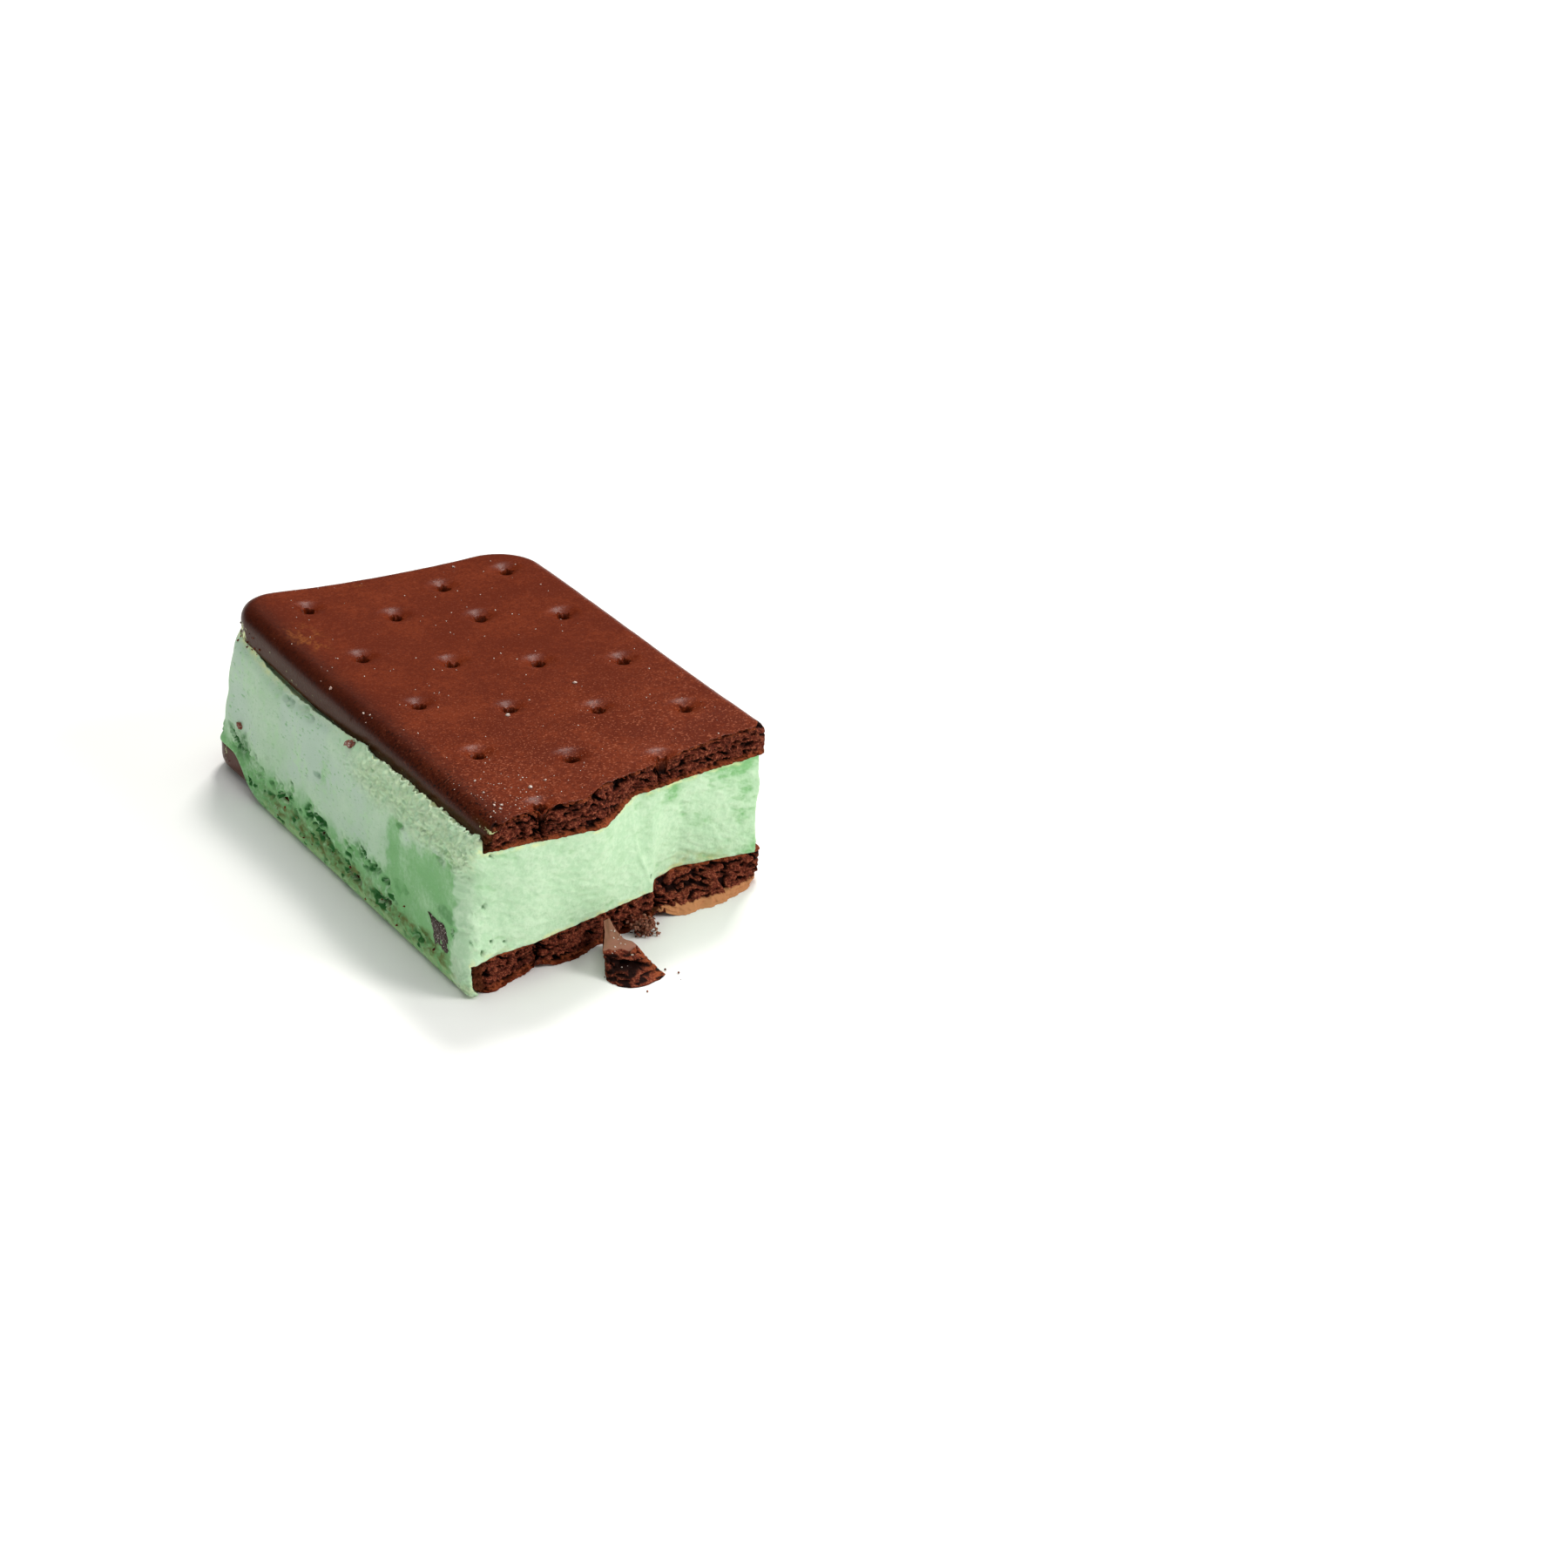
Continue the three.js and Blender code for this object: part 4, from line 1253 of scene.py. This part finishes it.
def make_chips(material, sizes):
    """Chocolate chips half sunk in the smear: jagged shards, sheared off flat by the wiping."""
    block = bmesh.new()
    layers = new_layers(block, ("warm",))
    for y, z, thickness, chip_length, height, tilt, warm in CHIPS:
        x = smear_surface(y, z) + 0.5 * smear_relief(y, z, sizes)[0] + 0.25 * thickness
        turn = Matrix.Rotation(math.radians(tilt), 4, "X")
        scales = Matrix.Diagonal((thickness / 2, chip_length / 2, height / 2, 1))
        form = Matrix.Translation((x, y, z)) @ turn @ scales
        for vert in bmesh.ops.create_icosphere(block, subdivisions=5, radius=1)["verts"]:
            facet = noise.voronoi(vert.co * 1.5 + Vector((y, z, 0)))[0][0]
            bite = noise.fractal(vert.co * 2.2 + Vector((z, y, 5)), 0.6, 2.2, 4)
            shard = vert.co * (0.88 + 0.25 * facet + 0.26 * bite)
            shard.z *= 1 - 0.7 * smoothstep(-0.1, 1.1, shard.y)
            shard.x = max(shard.x, -0.6 + 0.12 * noise.noise(shard * 4))
            vert.co = form @ shard
            mark(vert, layers, warm=warm)
    finish_piece(block, "chocolate_chips", material)


def make_flake(material, sizes):
    """The fallen flake: skin on its upper side, torn crumb at its sides and its wide end."""
    block = unit_block(*FLAKE_GRID)
    layers = new_layers(block, WAFER_LAYERS)
    for vert in block.verts:
        u, v, w = vert.co
        out = 1 - v  # 0 at the tip and 1 at the torn end
        side = 2 * u - 1
        lobes = 1 + 0.16 * ripple(side * 1.4, out * 4.2, 3.5) + 0.1 * ripple(side * 2, out * 11, 7.5)
        width = lerp(FLAKE_TIP_WIDTH, FLAKE_END_WIDTH, smoothstep(0, 0.9, out)) * lerp(1, 0.85, w) * lobes
        x = FLAKE_TIP[0] - FLAKE_BEND * math.sin(math.pi * out * 0.85) + side * width / 2
        x += FLAKE_LOBE * smoothstep(0.2, 1, side) * smoothstep(0.72, 0.95, out) * (1 - w)
        y = FLAKE_TIP[1] - out * FLAKE_LENGTH + FLAKE_END_SLOPE * out * out * w
        y += 1.5 * smoothstep(0.7, 1, out) * abs(side) ** 2.5
        height = lerp(FLAKE_TIP_HEIGHT, FLAKE_END_HEIGHT, out) + 0.3 * ripple(u * 2.5, out * 5, 9.5)
        z = w * (height - 0.8 * smoothstep(0.85, 1, out) * smoothstep(0.3, 1, abs(side)))

        on_end = smoothstep(0.93, 1, out)
        on_side = smoothstep(0.94, 1, abs(side))
        on_top = smoothstep(0.95, 1, w) * smoothstep(0.72, 0.9, out)
        within = math.sin(math.pi * clamp(w, 0.04, 0.96))
        relief, cavity = crumb_relief(x * 1.2, z * 1.3 + y * 0.4, FLAKE_SEED, sizes)
        mouth_along, mouth_up = u - 0.5, w - 0.55 + 0.35 * (u - 0.5)
        mouth = on_end * bell((mouth_along / 0.3) ** 2) * bell(mouth_up / 0.15)
        y += on_end * 0.7 * relief * within + FLAKE_MOUTH_DEPTH * mouth
        x -= on_side * math.copysign(0.35 * relief * within, side)
        z -= on_top * 0.5 * relief

        skin_end = lerp(0.68, 0.9, u) + 0.07 * ripple(u * 6, 0.5, 3.5)
        skin = smoothstep(0.97, 1, w) * smoothstep(0.99, 0.94, abs(side))
        skin *= smoothstep(skin_end, skin_end - 0.06, out)
        dark_end = 0.35 * smoothstep(0.3, -0.6, side) * smoothstep(0.6, 0.8, out)
        # The crumb's holes and the gape get painted shade, and the left of the torn end is painted darker
        # too
        mark(
            vert, layers,
            crumb=1 - skin,
            cavity=clamp(0.8 * cavity * max(on_end, on_side, on_top) + mouth + dark_end),
            rim=smoothstep(0.3, 0.9, side) * smoothstep(0.75, 0.9, out),
            dust=skin,
        )
        vert.co = (x, y, z)
    bmesh.ops.recalc_face_normals(block, faces=block.faces)
    finish_piece(block, "fallen_flake", material, "wafer_flake")


def surface_hit(trees, start, direction):
    """Where a ray first meets one of the pieces, or None."""
    hits = [tree.ray_cast(start, direction) for tree in trees]
    hits = [hit for hit in hits if hit[0] is not None]
    return min(hits, key=lambda hit: hit[3]) if hits else None


def piece_trees(names):
    """Search trees of finished pieces, in the millimetres that the pieces were worked out in."""
    trees = []
    for name in names:
        block = bmesh.new()
        block.from_mesh(bpy.data.objects[name].data)
        bmesh.ops.transform(block, matrix=TO_FRAME.inverted(), verts=block.verts)
        trees.append(BVHTree.FromBMesh(block))
        block.free()
    return trees


def make_crumbs(material, sizes):
    """Loose crumbs: stuck along the wafers' edges, fallen at the break and round the flake."""
    draw = random.Random(CRUMB_SEED)
    block = bmesh.new()
    trees = piece_trees(("mint_filling", "baked_wafer_top", "baked_wafer_bottom"))
    right, back = Vector((1, 0, 0)), Vector((0, 1, 0))

    def stick(start, direction, radius):
        hit = surface_hit(trees, start, direction)
        if hit:
            place = hit[0] + hit[1] * radius * CRUMB_STANDOFF
            scales = [radius * draw.uniform(0.6, 1.3) for _ in range(3)]
            add_lump(block, place, scales, random_turn(draw), 0.5, 2 if radius > 0.3 else 1)

    # On the right side, on the baked end, low on the smear, high on the left, and on the table
    for _ in range(sizes.crumb_count // 3):
        height = draw.choice([draw.uniform(*band) for band in RIGHT_CRUMB_BANDS])
        stick(Vector((RIGHT_OF_BAR, draw.uniform(8, 76), height)), -right, draw.uniform(0.12, 0.42))
    for _ in range(sizes.crumb_count // 5):
        height = draw.choice([draw.uniform(*band) for band in BACK_CRUMB_BANDS])
        stick(Vector((draw.uniform(6, 44), BEHIND_BAR, height)), -back, draw.uniform(0.12, 0.4))
    for _ in range(sizes.crumb_count // 8):
        start = Vector((LEFT_OF_BAR, draw.uniform(4, 74), draw.triangular(0.8, 6, 2)))
        stick(start, right, draw.uniform(0.1, 0.26))
    for _ in range(sizes.crumb_count // 9):
        start = Vector((LEFT_OF_BAR, draw.uniform(66, 75), draw.uniform(20.5, 23.5)))
        stick(start, right, draw.uniform(0.08, 0.2))
    for _ in range(sizes.crumb_count // 12):
        radius = draw.uniform(0.08, 0.2)
        place = [draw.uniform(*reach) for reach in CRUMB_FIELD] + [radius * 0.8]
        add_lump(block, place, [radius] * 3, random_turn(draw), 0.5)
    heap_start = len(block.verts)
    for _ in range(sizes.heap_count):
        place = [draw.gauss(middle, half / 2) for middle, half in zip(CRUMB_HEAP, CRUMB_HEAP_SIZE)]
        scales = [draw.uniform(0.1, 0.32) for _ in range(3)]
        add_lump(block, place, scales, random_turn(draw), 0.7)

    layers = new_layers(block, ("crumb", "dust"))
    for index, vert in enumerate(block.verts):
        vert.co.z = max(vert.co.z, CRUMB_CLEARANCE)
        dust = 0.6 + 0.7 * noise.noise(vert.co * 2) if index >= heap_start else 0
        mark(vert, layers, crumb=1, dust=dust)
    finish_piece(block, "loose_crumbs", material)


def make_grains(material, sizes):
    """Sugar and ice grains: on the upper wafer, thickest at its front left corner, and on the flake."""
    draw = random.Random(GRAIN_SEED)
    block = bmesh.new()
    trees = piece_trees(("baked_wafer_top", "fallen_flake"))
    spots = list(LARGE_GRAINS)
    for _ in range(sizes.grain_count):
        radius = draw.uniform(0.05, 0.13)
        if draw.random() < CORNER_GRAIN_SHARE:
            spots.append((*(draw.gauss(*spread) for spread in CORNER_GRAINS), radius))
        else:
            spots.append((*(draw.uniform(*reach) for reach in GRAIN_FIELD), radius))
    for _ in range(sizes.flake_grain_count):
        out = draw.uniform(1, 0.7 * FLAKE_LENGTH)
        across = draw.uniform(-1, 1) * (0.5 + 0.22 * out) - 0.12 * out
        spots.append((FLAKE_TIP[0] + across, FLAKE_TIP[1] - out, draw.uniform(0.07, 0.19)))
    for x, y, radius in spots:
        hit = surface_hit(trees, Vector((x, y, ABOVE_BAR)), Vector((0, 0, -1)))
        if hit and hit[1].z > 0.5:
            scales = [radius * draw.uniform(0.7, 1.2), radius * draw.uniform(0.7, 1.2), radius * 0.6]
            place = hit[0] + hit[1] * radius * GRAIN_STANDOFF
            add_lump(block, place, scales, random_turn(draw), 0.6)
    finish_piece(block, "sugar_grains", material)


# ---------------------------------------------------------------- stage


def add_softbox(softbox):
    data = bpy.data.lights.new(softbox.name, "AREA")
    data.shape = "RECTANGLE"
    data.size = softbox.width
    data.size_y = softbox.height
    data.energy = softbox.watts
    data.color = softbox.tint
    aim = (Vector(SOFTBOX_TARGET) - Vector(softbox.place)).to_track_quat("-Z", "Y")
    lamp = new_object(softbox.name, data)
    lamp.matrix_world = Matrix.Translation(softbox.place) @ aim.to_matrix().to_4x4()


def add_floor():
    floor = bmesh.new()
    bmesh.ops.create_grid(
        floor, x_segments=FLOOR_SQUARES, y_segments=FLOOR_SQUARES, size=FLOOR_HALF_SIZE,
    )
    bmesh.ops.translate(floor, verts=floor.verts, vec=(0, 0, -FLOOR_DROP))
    mesh = mesh_from(floor, "floor")
    mesh.materials.append(floor_material())
    new_object("floor", mesh)


def add_camera():
    data = bpy.data.cameras.new("camera")
    data.lens = CAMERA_LENS
    data.sensor_width = CAMERA_SENSOR
    data.clip_start = CAMERA_CLIP_START
    camera = new_object("camera", data)
    camera.matrix_world = (
        Matrix.Translation(CAMERA_PLACE)
        @ Matrix.Rotation(-math.radians(CAMERA_HEADING), 4, "Z")
        @ Matrix.Rotation(math.radians(90 - CAMERA_PITCH), 4, "X")
        @ Matrix.Rotation(math.radians(CAMERA_ROLL), 4, "Z")
    )
    bpy.context.scene.camera = camera


def make_stage():
    scene = bpy.context.scene
    scene.view_settings.view_transform = "Standard"
    world = bpy.data.worlds.new("studio")
    world.use_nodes = True
    background = world.node_tree.nodes["Background"]
    background.inputs["Color"].default_value = STUDIO_COLOUR
    background.inputs["Strength"].default_value = STUDIO_STRENGTH
    scene.world = world
    add_floor()
    for softbox in SOFTBOXES:
        add_softbox(softbox)
    add_camera()


# ---------------------------------------------------------------- operators and panel


class SANDWICH_OT_stage(bpy.types.Operator):
    """Set up the pale floor, the soft studio light and the camera"""

    bl_idname = "sandwich.stage"
    bl_label = "Stage"

    def execute(self, context):
        make_stage()
        return {"FINISHED"}


class SANDWICH_OT_wafers(bpy.types.Operator):
    """Bake both wafers, with their docking holes and the torn crumb of the break"""

    bl_idname = "sandwich.wafers"
    bl_label = "Wafers"

    def execute(self, context):
        scene = context.scene
        material = wafer_material(scene.sandwich_colours, "baked_chocolate_wafer")
        make_wafer(UPPER_WAFER, "baked_wafer_top", "wafer_top", material, scene.sandwich_sizes)
        make_wafer(LOWER_WAFER, "baked_wafer_bottom", "wafer_bottom", material, scene.sandwich_sizes)
        return {"FINISHED"}


class SANDWICH_OT_ice_cream(bpy.types.Operator):
    """Fill the sandwich with mint ice cream, smeared over its left side"""

    bl_idname = "sandwich.ice_cream"
    bl_label = "Ice Cream"

    def execute(self, context):
        scene = context.scene
        make_ice_cream(ice_cream_material(scene.sandwich_colours), scene.sandwich_sizes)
        return {"FINISHED"}


class SANDWICH_OT_chips(bpy.types.Operator):
    """Press the chocolate chips into the smeared side"""

    bl_idname = "sandwich.chips"
    bl_label = "Chips"

    def execute(self, context):
        scene = context.scene
        make_chips(chocolate_material(scene.sandwich_colours), scene.sandwich_sizes)
        return {"FINISHED"}


class SANDWICH_OT_flake(bpy.types.Operator):
    """Lay the fallen flake against the lower wafer"""

    bl_idname = "sandwich.flake"
    bl_label = "Flake"

    def execute(self, context):
        scene = context.scene
        make_flake(wafer_material(scene.sandwich_colours, "flake_wafer"), scene.sandwich_sizes)
        return {"FINISHED"}


class SANDWICH_OT_crumbs(bpy.types.Operator):
    """Scatter loose crumbs, and sugar grains over the upper wafer"""

    bl_idname = "sandwich.crumbs"
    bl_label = "Crumbs and Grains"

    def execute(self, context):
        scene = context.scene
        make_crumbs(wafer_material(scene.sandwich_colours, "crumb_wafer"), scene.sandwich_sizes)
        make_grains(frost_material(scene.sandwich_colours), scene.sandwich_sizes)
        return {"FINISHED"}


OPERATORS = (
    SANDWICH_OT_stage,
    SANDWICH_OT_wafers,
    SANDWICH_OT_ice_cream,
    SANDWICH_OT_chips,
    SANDWICH_OT_flake,
    SANDWICH_OT_crumbs,
)


class SANDWICH_PT_panel(bpy.types.Panel):
    """Lists the steps that build the sandwich, and its sizes and colours"""

    bl_idname = "SANDWICH_PT_panel"
    bl_label = "Ice Cream Sandwich"
    bl_space_type = "VIEW_3D"
    bl_region_type = "UI"
    bl_category = "Sandwich"

    def draw(self, context):
        for operator in OPERATORS:
            self.layout.operator(operator.bl_idname)
        for group in (context.scene.sandwich_sizes, context.scene.sandwich_colours):
            for name in group.__annotations__:
                self.layout.prop(group, name)


CLASSES = (SandwichSizes, SandwichColours, *OPERATORS, SANDWICH_PT_panel)


def register():
    for item in CLASSES:
        bpy.utils.register_class(item)
    bpy.types.Scene.sandwich_sizes = PointerProperty(type=SandwichSizes)
    bpy.types.Scene.sandwich_colours = PointerProperty(type=SandwichColours)


def unregister():
    del bpy.types.Scene.sandwich_colours
    del bpy.types.Scene.sandwich_sizes
    for item in reversed(CLASSES):
        bpy.utils.unregister_class(item)


def main():
    register()
    bpy.ops.sandwich.stage()
    bpy.ops.sandwich.wafers()
    bpy.ops.sandwich.ice_cream()
    bpy.ops.sandwich.chips()
    bpy.ops.sandwich.flake()
    bpy.ops.sandwich.crumbs()


if __name__ == "__main__":
    main()
